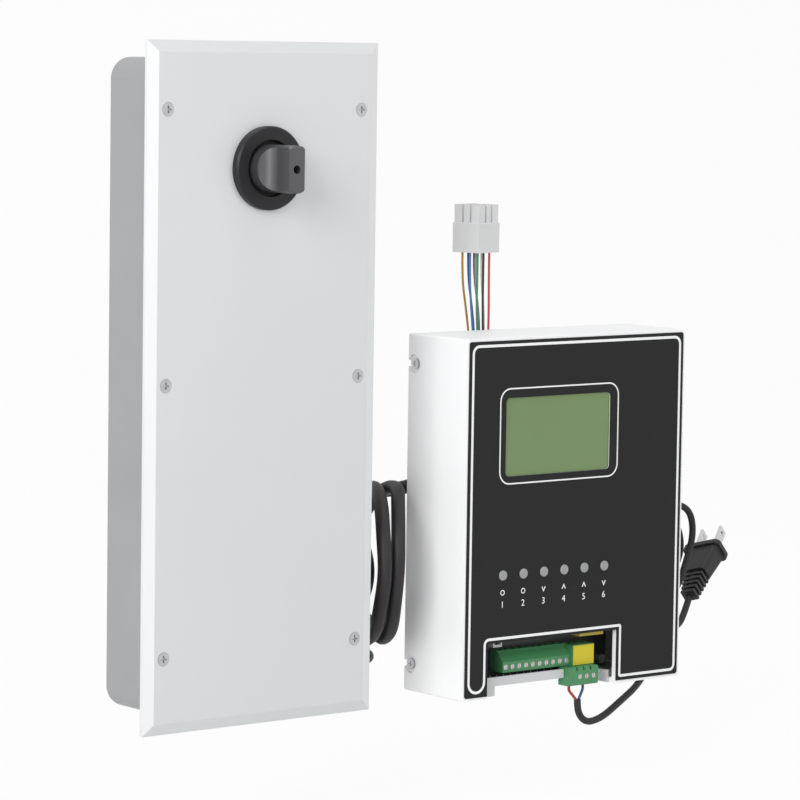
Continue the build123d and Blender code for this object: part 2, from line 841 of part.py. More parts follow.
def wire_points(column, row):
    """Route of one signal wire from the sheath's end up to the connector."""
    dx = column * signal_wire_pitch
    dy = row * signal_wire_pitch
    start = Vector(sheath_end[0] + dx, sheath_end[1] + dy, sheath_end[2])
    drop = (start - Vector(*sheath_end)).dot(sheath_way) / sheath_way.Z
    start = (start.X, start.Y, start.Z - drop)
    return [
        start,
        (sheath_end[0] + 1.6 + 1.3 * dx, sheath_end[1] - 1.8 + 1.3 * dy, sheath_end[2] + 12),
        (189.6 + 1.9 * dx, 1.4 + 1.9 * dy, sheath_end[2] + 30),
        (187.4 + 2.4 * dx, 0.6 + 2.4 * dy, sheath_end[2] + 52),
        socket_spot(column, row, -14 + 1.2 * column),
        socket_spot(column + 0.02, row, 0),
    ]


# Nine thin wires between the sheath's end and the connector
with BuildPart() as signal_wires:
    for column in (-1, 0, 1):
        for row in (-1, 0, 1):
            route = wire_points(column, row)
            with BuildLine():
                wire_path = FilletPolyline(*route, radius=bend_radii(route))
            with BuildSketch(Plane(origin=wire_path @ 0, z_dir=wire_path % 0)):
                Circle(signal_wire_diameter / 2)
            sweep()

connector_plane = Plane(origin=connector_place, x_dir=turn_x, z_dir=(0, 0, 1))

# Nine way connector: plain body below, slotted crown with nine sockets above
with BuildPart() as connector_housing:
    with BuildSketch(connector_plane):
        Rectangle(connector_side, connector_side)
    extrude(amount=connector_body)
    chamfer(connector_housing.edges().group_by(Axis.Z)[-1], 0.5)
    with BuildSketch(connector_plane.offset(connector_body)):
        Rectangle(connector_side - 1.2, connector_side - 1.2)
        with GridLocations(connector_pitch, connector_side - 1.2, 2, 2):
            Rectangle(1.5, 2.6, mode=Mode.SUBTRACT)
        with GridLocations(connector_side - 1.2, connector_pitch, 2, 2):
            Rectangle(2.6, 1.5, mode=Mode.SUBTRACT)
    extrude(amount=connector_crown)
    with BuildSketch(connector_plane.offset(connector_body - 4)):
        with GridLocations(connector_pitch, connector_pitch, 3, 3):
            Rectangle(3.6, 3.6)
    extrude(amount=connector_crown + 4, mode=Mode.SUBTRACT)

# Nine sprung contacts, one in each socket
with BuildPart() as connector_pins:
    with BuildSketch(connector_plane.offset(connector_body - 4)):
        with GridLocations(connector_pitch, connector_pitch, 3, 3):
            Rectangle(2.6, 2.6)
            Rectangle(1.6, 1.6, mode=Mode.SUBTRACT)
    extrude(amount=connector_crown - 1)

# Controller

# Front cover: one shell over front, top, sides and the two feet beside the terminal bay
with BuildPart() as front_cover:
    with BuildSketch(facing(box_back)):
        with Locations((box_mid_x, box_mid_z)):
            Rectangle(controller_width, controller_height)
    extrude(amount=box_back - sheet_front)
    fillet(front_cover.edges().filter_by(Axis.Y), cover_edge_round)
    with BuildSketch(facing(box_back)):
        with Locations((box_mid_x, box_mid_z)):
            Rectangle(controller_width - 2 * cover_wall, controller_height - 2 * cover_wall)
    extrude(amount=box_back - sheet_back, mode=Mode.SUBTRACT)
    with BuildSketch(facing(box_back + 1)):
        with Locations((bay_mid, box_bottom + bay_height / 2 - 1)):
            Rectangle(bay_right - bay_left, bay_height + 2)
    extrude(amount=controller_depth + 2, mode=Mode.SUBTRACT)
    with BuildSketch(facing(sheet_back)):
        with Locations((window_x, window_z)):
            RectangleRounded(window_width, window_height, window_round)
        with Locations(*button_spots):
            Circle(button_diameter / 2 + button_guide_gap)
    extrude(amount=cover_wall, mode=Mode.SUBTRACT)
    side_spots = [(box_back - side_screw_from_back, box_bottom + h) for h in (side_screw_low, side_screw_high)]
    for side in (-1, 1):
        wall_x = box_mid_x + side * controller_width / 2
        for y, z in side_spots:
            with BuildSketch(Plane(origin=(wall_x, y, z), z_dir=(side, 0, 0))):
                Circle(side_hole / 2)
            extrude(amount=-cover_wall, mode=Mode.SUBTRACT)
            with BuildSketch(Plane(origin=(wall_x, y, z), z_dir=(side, 0, 0))):
                Circle(side_dimple / 2)
            extrude(amount=-side_dimple_depth, mode=Mode.SUBTRACT)

# Black front panel, a thin sheet on the cover's face
with BuildPart() as front_panel:
    with BuildSketch(facing(sheet_front)):
        with Locations((box_mid_x, box_mid_z)):
            RectangleRounded(controller_width - 2 * panel_margin, controller_height - 2 * panel_margin, 1.5)
        with Locations((bay_mid, box_bottom + bay_height / 2 - 1)):
            Rectangle(bay_right - bay_left, bay_height + 2, mode=Mode.SUBTRACT)
        with Locations((window_x, window_z)):
            RectangleRounded(window_width, window_height, window_round, mode=Mode.SUBTRACT)
        with Locations(*button_spots):
            Circle(button_diameter / 2 + button_guide_gap, mode=Mode.SUBTRACT)
    extrude(amount=panel_thickness)

# Base tray: back plate with wall holes, side flanges, bottom with a cable channel and a lip
tray_width = controller_width - 2 * cover_wall - 2 * seat_gap
tray_height = controller_height - 2 * cover_wall - 2 * seat_gap
channel_x0 = box_left + channel_left
channel_x1 = box_left + bay_right
bay_x0 = box_left + bay_left + seat_gap
lip_front = sheet_back + lip_set_back
lip_back = lip_front + lip_thickness
lip_end = plug_x0 - rest_gap
with BuildPart() as base_tray:
    with BuildSketch(facing(box_back)):
        with Locations((box_mid_x, box_mid_z)):
            Rectangle(tray_width, tray_height)
            with GridLocations(wall_spacing_x, wall_spacing_z, 2, 2):
                Circle(wall_hole / 2, mode=Mode.SUBTRACT)
    extrude(amount=tray_wall)
    flange_depth = 2 * side_screw_from_back + 2
    for side in (-1, 1):
        with Locations(
            (box_mid_x + side * (tray_width / 2 - tray_wall / 2), box_back - flange_depth / 2, box_mid_z)
        ):
            Box(tray_wall, flange_depth, tray_height)
    with BuildSketch(facing(box_back)):
        with BuildLine():
            Polyline(
                (bay_x0, box_bottom),
                (channel_x0, box_bottom),
                (channel_x0, box_bottom + channel_height),
                (channel_x1 - seat_gap - 1.5, box_bottom + channel_height),
                (channel_x1 - seat_gap - 1.5, box_bottom),
                (channel_x1 - seat_gap, box_bottom),
                (channel_x1 - seat_gap, box_bottom + channel_height + 1.5),
                (channel_x0 - 1.5, box_bottom + channel_height + 1.5),
                (channel_x0 - 1.5, box_bottom + 1.5),
                (bay_x0, box_bottom + 1.5),
                close=True,
            )
        make_face()
    extrude(amount=box_back - lip_front)
    with BuildSketch(facing(plug_back + rest_gap)):
        with BuildLine():
            Polyline(
                (lip_end, box_bottom + channel_height - 1),
                (channel_x1 - seat_gap - 1.5, box_bottom + channel_height - 1),
                (channel_x1 - seat_gap - 1.5, box_bottom + channel_height + 2),
                (lip_end, box_bottom + channel_height + 2),
                close=True,
            )
        make_face()
    extrude(amount=plug_back + rest_gap - lip_front, mode=Mode.SUBTRACT)
    with BuildSketch(facing(lip_back)):
        with BuildLine():
            Polyline(
                (bay_x0, box_bottom),
                (channel_x0, box_bottom),
                (channel_x0, box_bottom + channel_height),
                (lip_end, box_bottom + channel_height),
                (lip_end, box_bottom + lip_height),
                (bay_x0, box_bottom + lip_height),
                close=True,
            )
        make_face()
    extrude(amount=lip_thickness)
    post_x = (
        box_left + main_board_left + board_post_inset,
        box_left + main_board_left + main_board_width - board_post_inset,
    )
    post_z = (
        box_bottom + main_board_bottom + board_post_inset,
        box_bottom + main_board_bottom + main_board_height - board_post_inset,
    )
    board_posts = [(x, z) for x in post_x for z in post_z]
    with BuildSketch(facing(tray_front)):
        with Locations(*board_posts):
            Circle(board_post_diameter / 2)
    extrude(amount=tray_front - board_back)
    with BuildSketch(facing(board_back)):
        with Locations(*board_posts):
            Circle(m3_core / 2 + fit_gap)
    extrude(amount=-9, mode=Mode.SUBTRACT)
    for side in (-1, 1):
        flange_x = box_mid_x + side * tray_width / 2
        for y, z in side_spots:
            with BuildSketch(Plane(origin=(flange_x, y, z), z_dir=(side, 0, 0))):
                Circle(m3_core / 2 + fit_gap)
            extrude(amount=-tray_wall, mode=Mode.SUBTRACT)

# Four screws in round dimples hold the cover to the tray
with BuildPart() as side_screws:
    for side in (-1, 1):
        seat_x = box_mid_x + side * (controller_width / 2 - side_dimple_depth)
        head_x = seat_x + side * side_head_height
        for y, z in side_spots:
            with BuildSketch(Plane(origin=(head_x, y, z), z_dir=(side, 0, 0))):
                Circle(side_head / 2)
            extrude(amount=-side_head_height)
            with BuildSketch(Plane(origin=(head_x, y, z), z_dir=(side, 0, 0))):
                Circle(m3_core / 2)
            extrude(amount=-(side_head_height + cover_wall - side_dimple_depth + seat_gap + tray_wall + 1.5))
            with Locations((head_x, y, z)):
                Box(1.2, 0.7, 3, mode=Mode.SUBTRACT)
                Box(1.2, 3, 0.7, mode=Mode.SUBTRACT)

# Display window pane
glass_front = box_front + window_recess
with BuildPart() as lcd_glass:
    with BuildSketch(facing(glass_front)):
        with Locations((window_x, window_z)):
            RectangleRounded(window_width - seat_gap, window_height - seat_gap, window_round - seat_gap / 2)
    extrude(amount=-(sheet_back - glass_front))

# Display module behind the pane, on the display board
display_front = sheet_back + display_board_depth - board_thickness
with BuildPart() as lcd_module:
    with BuildSketch(facing(sheet_back)):
        with Locations((window_x, window_z)):
            RectangleRounded(window_width + 2 * module_rim, window_height + 2 * module_rim, 1.5)
    extrude(amount=-module_depth)
    with BuildSketch(facing(sheet_back + module_depth)):
        with Locations((window_x, window_z)):
            with GridLocations(window_width - 4, window_height - 4, 2, 2):
                Circle(2.5)
    extrude(amount=-(display_front - sheet_back - module_depth))

# Display board
display_left = window_x - window_width / 2 - 10
display_right = window_x + window_width / 2 + 10
display_top = window_z + window_height / 2 + 8
display_low = button_z - 9
with BuildPart() as display_board:
    with BuildSketch(facing(display_front + board_thickness)):
        with Locations(((display_left + display_right) / 2, (display_top + display_low) / 2)):
            RectangleRounded(display_right - display_left, display_top - display_low, 2)
    extrude(amount=board_thickness)

# Push buttons, each with a flange behind the cover's face
flange_front = sheet_back + rest_gap
switch_front = display_front - switch_height
button_end = switch_front - button_travel - rest_gap
buttons = []
for number, (x, z) in enumerate(button_spots, start=1):
    with BuildPart() as button:
        with BuildSketch(facing(flange_front)):
            with Locations((x, z)):
                Circle(button_diameter / 2)
        extrude(amount=flange_front - box_front + button_proud)
        fillet(button.faces().sort_by(Axis.Y)[0].edges(), 0.5)
        with BuildSketch(facing(flange_front)):
            with Locations((x, z)):
                Circle(button_flange / 2)
        extrude(amount=-button_flange_thickness)
        with BuildSketch(facing(flange_front + button_flange_thickness)):
            with Locations((x, z)):
                Circle(button_stem / 2)
        extrude(amount=-(button_end - flange_front - button_flange_thickness))
    buttons.append(button)

# Key switches on the display board, one behind each button
with BuildPart() as key_switches:
    with BuildSketch(facing(display_front)):
        with Locations(*button_spots):
            Rectangle(switch_size, switch_size)
    extrude(amount=switch_height)

# Main board with the bay's parts in front of it
board_left = box_left + main_board_left
board_low = box_bottom + main_board_bottom
with BuildPart() as main_board:
    with BuildSketch(facing(board_back)):
        with Locations((board_left + main_board_width / 2, board_low + main_board_height / 2)):
            Rectangle(main_board_width, main_board_height)
        with Locations(*board_posts):
            Circle(m3_core / 2 + 0.35, mode=Mode.SUBTRACT)
    extrude(amount=board_thickness)

# Four round-headed screws that hold the board on its posts
with BuildPart() as board_screws:
    with BuildSketch(facing(board_front)):
        with Locations(*board_posts):
            Circle(m3_head / 2)
    extrude(amount=2)
    with BuildSketch(facing(board_front)):
        with Locations(*board_posts):
            Circle(m3_core / 2)
    extrude(amount=-(board_thickness + 7))

# Ten way terminal block: upright screw face, slope above it, wire entries along the top
terminal_x0 = box_left + terminal_left
terminal_z0 = plug_top + rest_gap
terminal_front = board_front - terminal_depth
terminal_length = terminal_ways * terminal_pitch
terminal_x = [terminal_x0 + (i + 0.5) * terminal_pitch for i in range(terminal_ways)]
with BuildPart() as terminal_block:
    with BuildSketch(Plane(origin=(terminal_x0, 0, 0), x_dir=(0, 1, 0), z_dir=(1, 0, 0))):
        with BuildLine():
            Polyline(
                (board_front, terminal_z0),
                (terminal_front, terminal_z0),
                (terminal_front, terminal_z0 + terminal_face),
                (terminal_front + 4.5, terminal_z0 + terminal_height - 1.2),
                (terminal_front + 5.2, terminal_z0 + terminal_height),
                (board_front, terminal_z0 + terminal_height),
                close=True,
            )
        make_face()
    extrude(amount=terminal_length)
    with BuildSketch(level(terminal_z0 + terminal_height)):
        with Locations(*[(x, board_front - 3.2) for x in terminal_x]):
            Rectangle(terminal_pitch - 1.6, 3.6)
    extrude(amount=-5, mode=Mode.SUBTRACT)
    with BuildSketch(facing(terminal_front)):
        with Locations(*[(x, terminal_z0 + terminal_face / 2) for x in terminal_x]):
            Circle(terminal_screw / 2 + fit_gap)
    extrude(amount=-3, mode=Mode.SUBTRACT)

# Power header beside the block, with the plug's mating teeth below it
header_x0 = terminal_x0 + terminal_length
header_front = board_front - header_depth
header_z0 = plug_top
with BuildPart() as power_header:
    with BuildSketch(facing(board_front)):
        with Locations((header_x0 + header_width / 2, header_z0 + header_height / 2)):
            Rectangle(header_width, header_height)
    extrude(amount=header_depth)
    with BuildSketch(level(header_z0 + header_height)):
        with Locations(*[(header_x0 + 2.9 + i * plug_pitch, board_front - 4.5) for i in range(3)]):
            Rectangle(3.2, 4)
    extrude(amount=-3, mode=Mode.SUBTRACT)

# Plain yellow plate on the header's face
with BuildPart() as header_label:
    with BuildSketch(facing(header_front)):
        with Locations((header_x0 + header_width / 2, header_z0 + header_height / 2)):
            Rectangle(header_width - 0.8, header_height - 0.8)
    extrude(amount=label_thickness)

# Three way plug hanging below the header, with three screws on its face
plug_screw_x = [plug_x0 + plug_width - 3.1 - (2 - i) * plug_pitch for i in range(3)]
plug_entry_x = [plug_x0 + 4.2, plug_x0 + 4.2 + 2 * plug_pitch]
with BuildPart() as power_plug:
    with BuildSketch(facing(plug_front + plug_depth)):
        with Locations((plug_x0 + plug_width / 2, plug_z0 + plug_height / 2)):
            Rectangle(plug_width, plug_height)
    extrude(amount=plug_depth)
    chamfer(power_plug.faces().sort_by(Axis.Y)[0].edges().filter_by(Axis.X), 0.8)
    with BuildSketch(level(plug_z0 + plug_height)):
        with Locations(*[(x - plug_pitch / 2, plug_front + 1.2) for x in plug_screw_x]):
            Rectangle(1.2, 2.4)
    extrude(amount=-2.2, mode=Mode.SUBTRACT)
    with BuildSketch(facing(plug_front)):
        with Locations(*[(x, plug_z0 + plug_height / 2 - 0.4) for x in plug_screw_x]):
            Circle(terminal_screw / 2 + fit_gap)
    extrude(amount=-3, mode=Mode.SUBTRACT)

# Slotted clamp screws of the block and of the plug, in one pattern
with BuildPart() as terminal_screws:
    for face, spots in (
        (terminal_front, [(x, terminal_z0 + terminal_face / 2) for x in terminal_x]),
        (plug_front, [(x, plug_z0 + plug_height / 2 - 0.4) for x in plug_screw_x]),
    ):
        with BuildSketch(facing(face + 3)):
            with Locations(*spots):
                Circle(terminal_screw / 2)
        extrude(amount=2.6)
        with Locations(*at_depth(face + 0.4, spots)):
            Box(0.6, 0.8, terminal_screw, mode=Mode.SUBTRACT)

# Small white header above the block
with BuildPart() as small_header:
    with BuildSketch(facing(board_front)):
        with Locations((box_left + 38, terminal_z0 + terminal_height + 4.2)):
            Rectangle(6.5, 5)
            with Locations((0, 0.8)):
                Rectangle(4.3, 3.6, mode=Mode.SUBTRACT)
    extrude(amount=4.5)

# Transformer, relay and capacitors above the bay
parts_z = terminal_z0 + terminal_height + 16
with BuildPart() as transformer:
    with Locations((header_x0 + 13, board_front - 6.5, parts_z + 1)):
        Box(26, 13, 20)
    with Locations((header_x0 + 13, board_front - 7, parts_z + 1)):
        Box(18, 14, 25)

with BuildPart() as board_parts:
    with Locations((terminal_x0 + 34, board_front - 5.5, parts_z)):
        Box(19, 11, 15)
    with BuildSketch(facing(board_front)):
        with Locations((terminal_x0 + 4, parts_z), (terminal_x0 + 16, parts_z)):
            Circle(5)
    extrude(amount=12)
    with Locations((terminal_x0 + 10, board_front - 0.9, parts_z + 24)):
        Box(10, 1.8, 10)

# Mains lead

conductor_y = plug_front + plug_depth / 2
sheath_start = (box_left + 89.8, conductor_y - 0.5, box_bottom - 7.8)
lead_points = [
    sheath_start,
    (sheath_start[0] + 0.1, conductor_y - 0.5, box_bottom - 12.8),
    (223.3, conductor_y - 0.3, box_bottom - 17.8),
    (227.6, conductor_y, box_bottom - 21.2),
    (233.5, -51.8, box_bottom - 22.3),
    (244.5, -49.5, box_bottom - 20.0),
    (262.0, -44.5, box_bottom - 13.5),
    (281.0, -37.0, box_bottom - 8.0),
    (301.0, -24.0, box_bottom - 0.5),
    (314.5, -11.0, box_bottom + 12.5),
    (322.5, -2.5, box_bottom + 28.0),
    (334.5, 1.5, box_bottom + 38.5),
]
lead_coil_x = 338.5
lead_coil_y = 2.0
lead_coil_z = -229.2
lead_coil_outer = 27.6
lead_coil_inner = 19.6
lead_coil_width = 14.0
plug_base = (354.0, -2.0, -260.0)
plug_way = (0.7076, 0.4093, 0.5758)
plug_side = (0.3200, -0.9030, 0.2487)
tail_points = [
    (313.2, -2.5, -231.0),
    (312.6, -6.5, -247.0),
    (315.5, -10.5, -262.0),
    (324.0, -13.0, -273.5),
    (336.0, -12.8, -275.5),
    (346.0, -7.0, -267.6),
    plug_base,
]

# Two conductors between the plug's clamps and the end of the sheath
with BuildPart() as lead_conductors:
    for entry, side in ((plug_entry_x[0], -1), (plug_entry_x[1], 1)):
        end_x = sheath_start[0] + side * 0.95
        route = [
            (entry, conductor_y, plug_z0),
            (entry + side * 0.3, conductor_y, plug_z0 - 3.0),
            ((entry + end_x) / 2 + side * 0.4, conductor_y - 0.2, plug_z0 - 5.6),
            (end_x, sheath_start[1], sheath_start[2]),
        ]
        with BuildLine():
            wire_path = FilletPolyline(*route, radius=bend_radii(route))
        with BuildSketch(Plane(origin=wire_path @ 0, z_dir=wire_path % 0)):
            Circle(conductor_diameter / 2)
        sweep()

# Mains lead from the sheath's end to its coil
with BuildPart() as power_lead:
    with BuildLine():
        lead_path = FilletPolyline(*lead_points, radius=bend_radii(lead_points))
    with BuildSketch(Plane(origin=lead_path @ 0, z_dir=lead_path % 0)):
        Circle(lead_diameter / 2)
    sweep()

# Coil of the mains lead, as one ring
with BuildPart() as power_lead_coil:
    with BuildSketch(facing(lead_coil_y + lead_coil_width / 2)):
        with Locations((lead_coil_x, lead_coil_z)):
            Circle(lead_coil_outer)
            Circle(lead_coil_inner, mode=Mode.SUBTRACT)
    extrude(amount=lead_coil_width)
    fillet(power_lead_coil.edges().filter_by(GeomType.CIRCLE), 1.8)

# Mains lead from the coil to the plug's strain relief
with BuildPart() as power_lead_tail:
    with BuildLine():
        tail_path = FilletPolyline(*tail_points, radius=bend_radii(tail_points))
    with BuildSketch(Plane(origin=tail_path @ 0, z_dir=tail_path % 0)):
        Circle(lead_diameter / 2)
    sweep()

mains_plane = Plane(origin=plug_base, x_dir=plug_side, z_dir=plug_way)

# Ribbed strain relief, widening towards the plug
with BuildPart() as plug_relief:
    with BuildSketch(mains_plane):
        Circle(3.1)
    with BuildSketch(mains_plane.offset(relief_length)):
        Circle(4.2)
    loft()
    for i in range(5):
        with BuildSketch(mains_plane.offset(0.8 + i * 3.6)):
            Rectangle(9.0 + 0.9 * i, 7.4 + 0.4 * i)
        extrude(amount=1.9)

# Moulded plug body, narrow at the lead and wide at the face, with a flange round the face
with BuildPart() as mains_plug:
    with BuildSketch(mains_plane.offset(relief_length)):
        RectangleRounded(14, 11, 3)
    with BuildSketch(mains_plane.offset(relief_length + plug_body_length - 4)):
        RectangleRounded(22, 13, 3)
    loft()
    with BuildSketch(mains_plane.offset(relief_length + plug_body_length - 4)):
        RectangleRounded(25, 15.5, 3.5)
    extrude(amount=4)
    chamfer(mains_plug.faces().sort_by(Axis(plug_base, plug_way))[-1].edges(), 0.8)

# Two flat blades with a round hole near the end
with BuildPart() as plug_blades:
    blade_plane = mains_plane.offset(relief_length + plug_body_length)
    with BuildSketch(blade_plane):
        with GridLocations(blade_spacing, 1, 2, 1):
            Rectangle(blade_thickness, blade_width)
    extrude(amount=blade_length)
    with BuildSketch(Plane(origin=blade_plane.origin + blade_plane.z_dir * (blade_length - 4), z_dir=plug_side)):
        Circle(1.6)
    extrude(amount=blade_spacing, both=True, mode=Mode.SUBTRACT)

# Write the pieces

for name, points, diameter, made in (
    ("motor_cable", motor_cable_points, motor_cable_diameter, motor_cable),
    ("motor_cable_run", motor_cable_run_points, motor_cable_diameter, motor_cable_run),
    ("power_lead", lead_points, lead_diameter, power_lead),
    ("power_lead_tail", tail_points, lead_diameter, power_lead_tail),
):
    report_cord(name, points, diameter, made.part)

pieces = {
    "pan": pan,
    "cover_gasket": cover_gasket,
    "cover_plate": cover_plate,
    "cover_screws": cover_screws,
    "spindle_ring": spindle_ring,
    "shaft_seal": shaft_seal,
    "lower_bearing": lower_bearing,
    "upper_bearing": upper_bearing,
    "spindle": spindle,
    "spindle_key": spindle_key,
    "main_gear": main_gear,
    "angle_magnet": angle_magnet,
    "sensor_board": sensor_board,
    "idler_gear": idler_gear,
    "idler_pin": idler_pin,
    "gear_bridge": gear_bridge,
    "bridge_screws": bridge_screws,
    "motor": motor,
    "motor_screws": motor_screws,
    "drive_pinion": drive_pinion,
    "cable_gland": cable_gland,
    "motor_cable": motor_cable,
    "motor_cable_coil": motor_cable_coil,
    "motor_cable_run": motor_cable_run,
    "signal_wires": signal_wires,
    "connector_housing": connector_housing,
    "connector_pins": connector_pins,
    "front_cover": front_cover,
    "front_panel": front_panel,
    "base_tray": base_tray,
    "side_screws": side_screws,
    "lcd_glass": lcd_glass,
    "lcd_module": lcd_module,
    "display_board": display_board,
    "key_switches": key_switches,
    "main_board": main_board,
    "board_screws": board_screws,
    "terminal_block": terminal_block,
    "power_header": power_header,
    "header_label": header_label,
    "power_plug": power_plug,
    "terminal_screws": terminal_screws,
    "small_header": small_header,
    "transformer": transformer,
    "board_parts": board_parts,
    "lead_conductors": lead_conductors,
    "power_lead": power_lead,
    "power_lead_coil": power_lead_coil,
    "power_lead_tail": power_lead_tail,
    "plug_relief": plug_relief,
    "mains_plug": mains_plug,
    "plug_blades": plug_blades,
}
for number, button in enumerate(buttons, start=1):
    pieces["button_%d" % number] = button

for name, made in pieces.items():
    made.part.label = name
    export_step(made.part, "parts/%s.step" % name)
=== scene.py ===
# %% [markdown]
# # A swing door operator, dressed for its picture
# The operator is two boxes and two cables. A flat drive unit holds a gear train whose
# spindle turns the door, and a small wall controller holds a display, six buttons and
# the terminals. The solids are already modelled to size, so this lesson adds what a
# solid lacks: surfaces, printed lines and cables that lie in soft curves.

# %% Load the model and note its size
import math

import bmesh
import bpy
from mathutils import Matrix, Vector


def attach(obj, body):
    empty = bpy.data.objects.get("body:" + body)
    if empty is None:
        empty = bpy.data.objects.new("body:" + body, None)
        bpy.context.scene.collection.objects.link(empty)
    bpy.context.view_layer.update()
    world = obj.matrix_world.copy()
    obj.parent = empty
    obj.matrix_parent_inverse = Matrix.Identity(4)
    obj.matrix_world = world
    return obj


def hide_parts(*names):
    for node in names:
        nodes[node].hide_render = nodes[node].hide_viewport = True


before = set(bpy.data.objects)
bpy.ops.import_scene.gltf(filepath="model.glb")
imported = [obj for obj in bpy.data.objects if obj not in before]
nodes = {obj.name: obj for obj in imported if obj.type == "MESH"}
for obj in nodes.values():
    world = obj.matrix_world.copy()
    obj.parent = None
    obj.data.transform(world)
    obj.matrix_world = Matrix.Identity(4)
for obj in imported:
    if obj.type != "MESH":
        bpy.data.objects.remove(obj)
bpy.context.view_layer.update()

# %% [markdown]
# ## Millimetres to metres
# Drawings of such a product are in millimetres and Blender works in metres. One small
# helper keeps every number below in the unit that a maker would write.

# %% Helpers for size and for making a piece
MM = 0.001


def mm(x, y, z):
    """Point of the drawing, in millimetres, as a Blender vector."""
    return Vector((x, y, z)) * MM


def tone(red, green, blue):
    """Linear colour from the three screen values of a colour, 0 to 255."""
    def straight(value):
        value = value / 255
        return value / 12.92 if value <= 0.04045 else ((value + 0.055) / 1.055) ** 2.4
    return (straight(red), straight(green), straight(blue), 1.0)


def show(name, data):
    """New object of the scene with the given mesh, curve, lamp or camera data."""
    made = bpy.data.objects.new(name, data)
    bpy.context.scene.collection.objects.link(made)
    return made


def mesh_of(name, shape):
    """Mesh data made from a finished bmesh, which is freed."""
    data = bpy.data.meshes.new(name)
    shape.to_mesh(data)
    shape.free()
    return data


def piece(name, shape, material):
    """Show a finished bmesh with its material, riding on the housing."""
    made = show(name, mesh_of(name, shape))
    made.data.materials.append(material)
    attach(made, "housing")
    return made


print("one millimetre is", MM, "m")

# %% [markdown]
# ## The camera
# A long lens from the left, a little above the middle of the plate, keeps the upright
# edges upright. The camera is given by its place and by the two directions it holds, so
# that nothing depends on the size of the image.

# %% Camera
CAMERA_AT = mm(-1193.9, -1641.5, 62.4)
CAMERA_RIGHT = Vector((0.77878, -0.62714, 0.01442))
CAMERA_UP = Vector((0.04632, 0.08042, 0.99568))
camera_data = bpy.data.cameras.new("camera")
camera_data.sensor_width = 36.0
camera_data.lens = 171.0
camera_data.clip_end = 50.0
camera = show("camera", camera_data)
back_way = CAMERA_RIGHT.cross(CAMERA_UP).normalized()
up_way = back_way.cross(CAMERA_RIGHT).normalized()
turn = Matrix((CAMERA_RIGHT.normalized(), up_way, back_way)).transposed().to_4x4()
camera.matrix_world = Matrix.Translation(CAMERA_AT) @ turn
bpy.context.scene.camera = camera
print("camera at", tuple(round(v, 3) for v in CAMERA_AT))

# %% [markdown]
# ## One recipe for every finish
# Paint, moulded plastic and plated steel differ in colour, in gloss and in how fine
# their grain is. A noise texture in the object's own coordinates gives each surface a
# faint change of tone and of gloss, and a much finer one gives the grain as a bump.
# Stretching the fine noise along one direction turns the same recipe into brushed metal.

# %% Small parts of a material


def noise(tree, where, scale, detail):
    """Noise texture read at the given coordinates."""
    made = tree.nodes.new("ShaderNodeTexNoise")
    made.inputs["Scale"].default_value = scale
    made.inputs["Detail"].default_value = detail
    made.inputs["Roughness"].default_value = 0.5
    tree.links.new(where, made.inputs["Vector"])
    return made.outputs["Fac"]


def blend_colour(tree, share, first, second):
    """Mix two colours, or a colour and a socket, by a share."""
    made = tree.nodes.new("ShaderNodeMix")
    made.data_type = "RGBA"
    tree.links.new(share, made.inputs[0])
    for spot, value in ((6, first), (7, second)):
        if isinstance(value, tuple):
            made.inputs[spot].default_value = value
        else:
            tree.links.new(value, made.inputs[spot])
    return made.outputs[2]


def remap(tree, value, low, high, to_low, to_high):
    """Straight change of range, held at both ends."""
    made = tree.nodes.new("ShaderNodeMapRange")
    made.inputs["From Min"].default_value = low
    made.inputs["From Max"].default_value = high
    made.inputs["To Min"].default_value = to_low
    made.inputs["To Max"].default_value = to_high
    tree.links.new(value, made.inputs["Value"])
    return made.outputs["Result"]


def maths(tree, operation, *values):
    """Result of a maths node; each value is a socket or a plain number."""
    made = tree.nodes.new("ShaderNodeMath")
    made.operation = operation
    for spot, value in enumerate(values):
        if isinstance(value, float):
            made.inputs[spot].default_value = value
        else:
            tree.links.new(value, made.inputs[spot])
    return made.outputs[0]


def coordinate(tree, kind):
    """Three separate values, X, Y and Z, of a kind of texture coordinate."""
    parts = tree.nodes.new("ShaderNodeSeparateXYZ")
    tree.links.new(tree.nodes.new("ShaderNodeTexCoord").outputs[kind], parts.inputs[0])
    return parts.outputs


def retint(material, share, colour):
    """Blend another colour into a material's present one by a share of its own tree."""
    tree = material.node_tree
    base = tree.nodes["Principled BSDF"].inputs["Base Color"]
    present = base.links[0].from_socket
    tree.links.new(blend_colour(tree, share, present, colour), base)


def shade(colour, share):
    """The same colour, lighter or darker by a share."""
    return tuple(min(1.0, max(0.0, c * (1 + share))) for c in colour[:3]) + (1.0,)


print("material helpers", 7)

# %% Finish recipe
GLOSS_CHANGE = 0.05
GRAIN_STRENGTH = 0.6


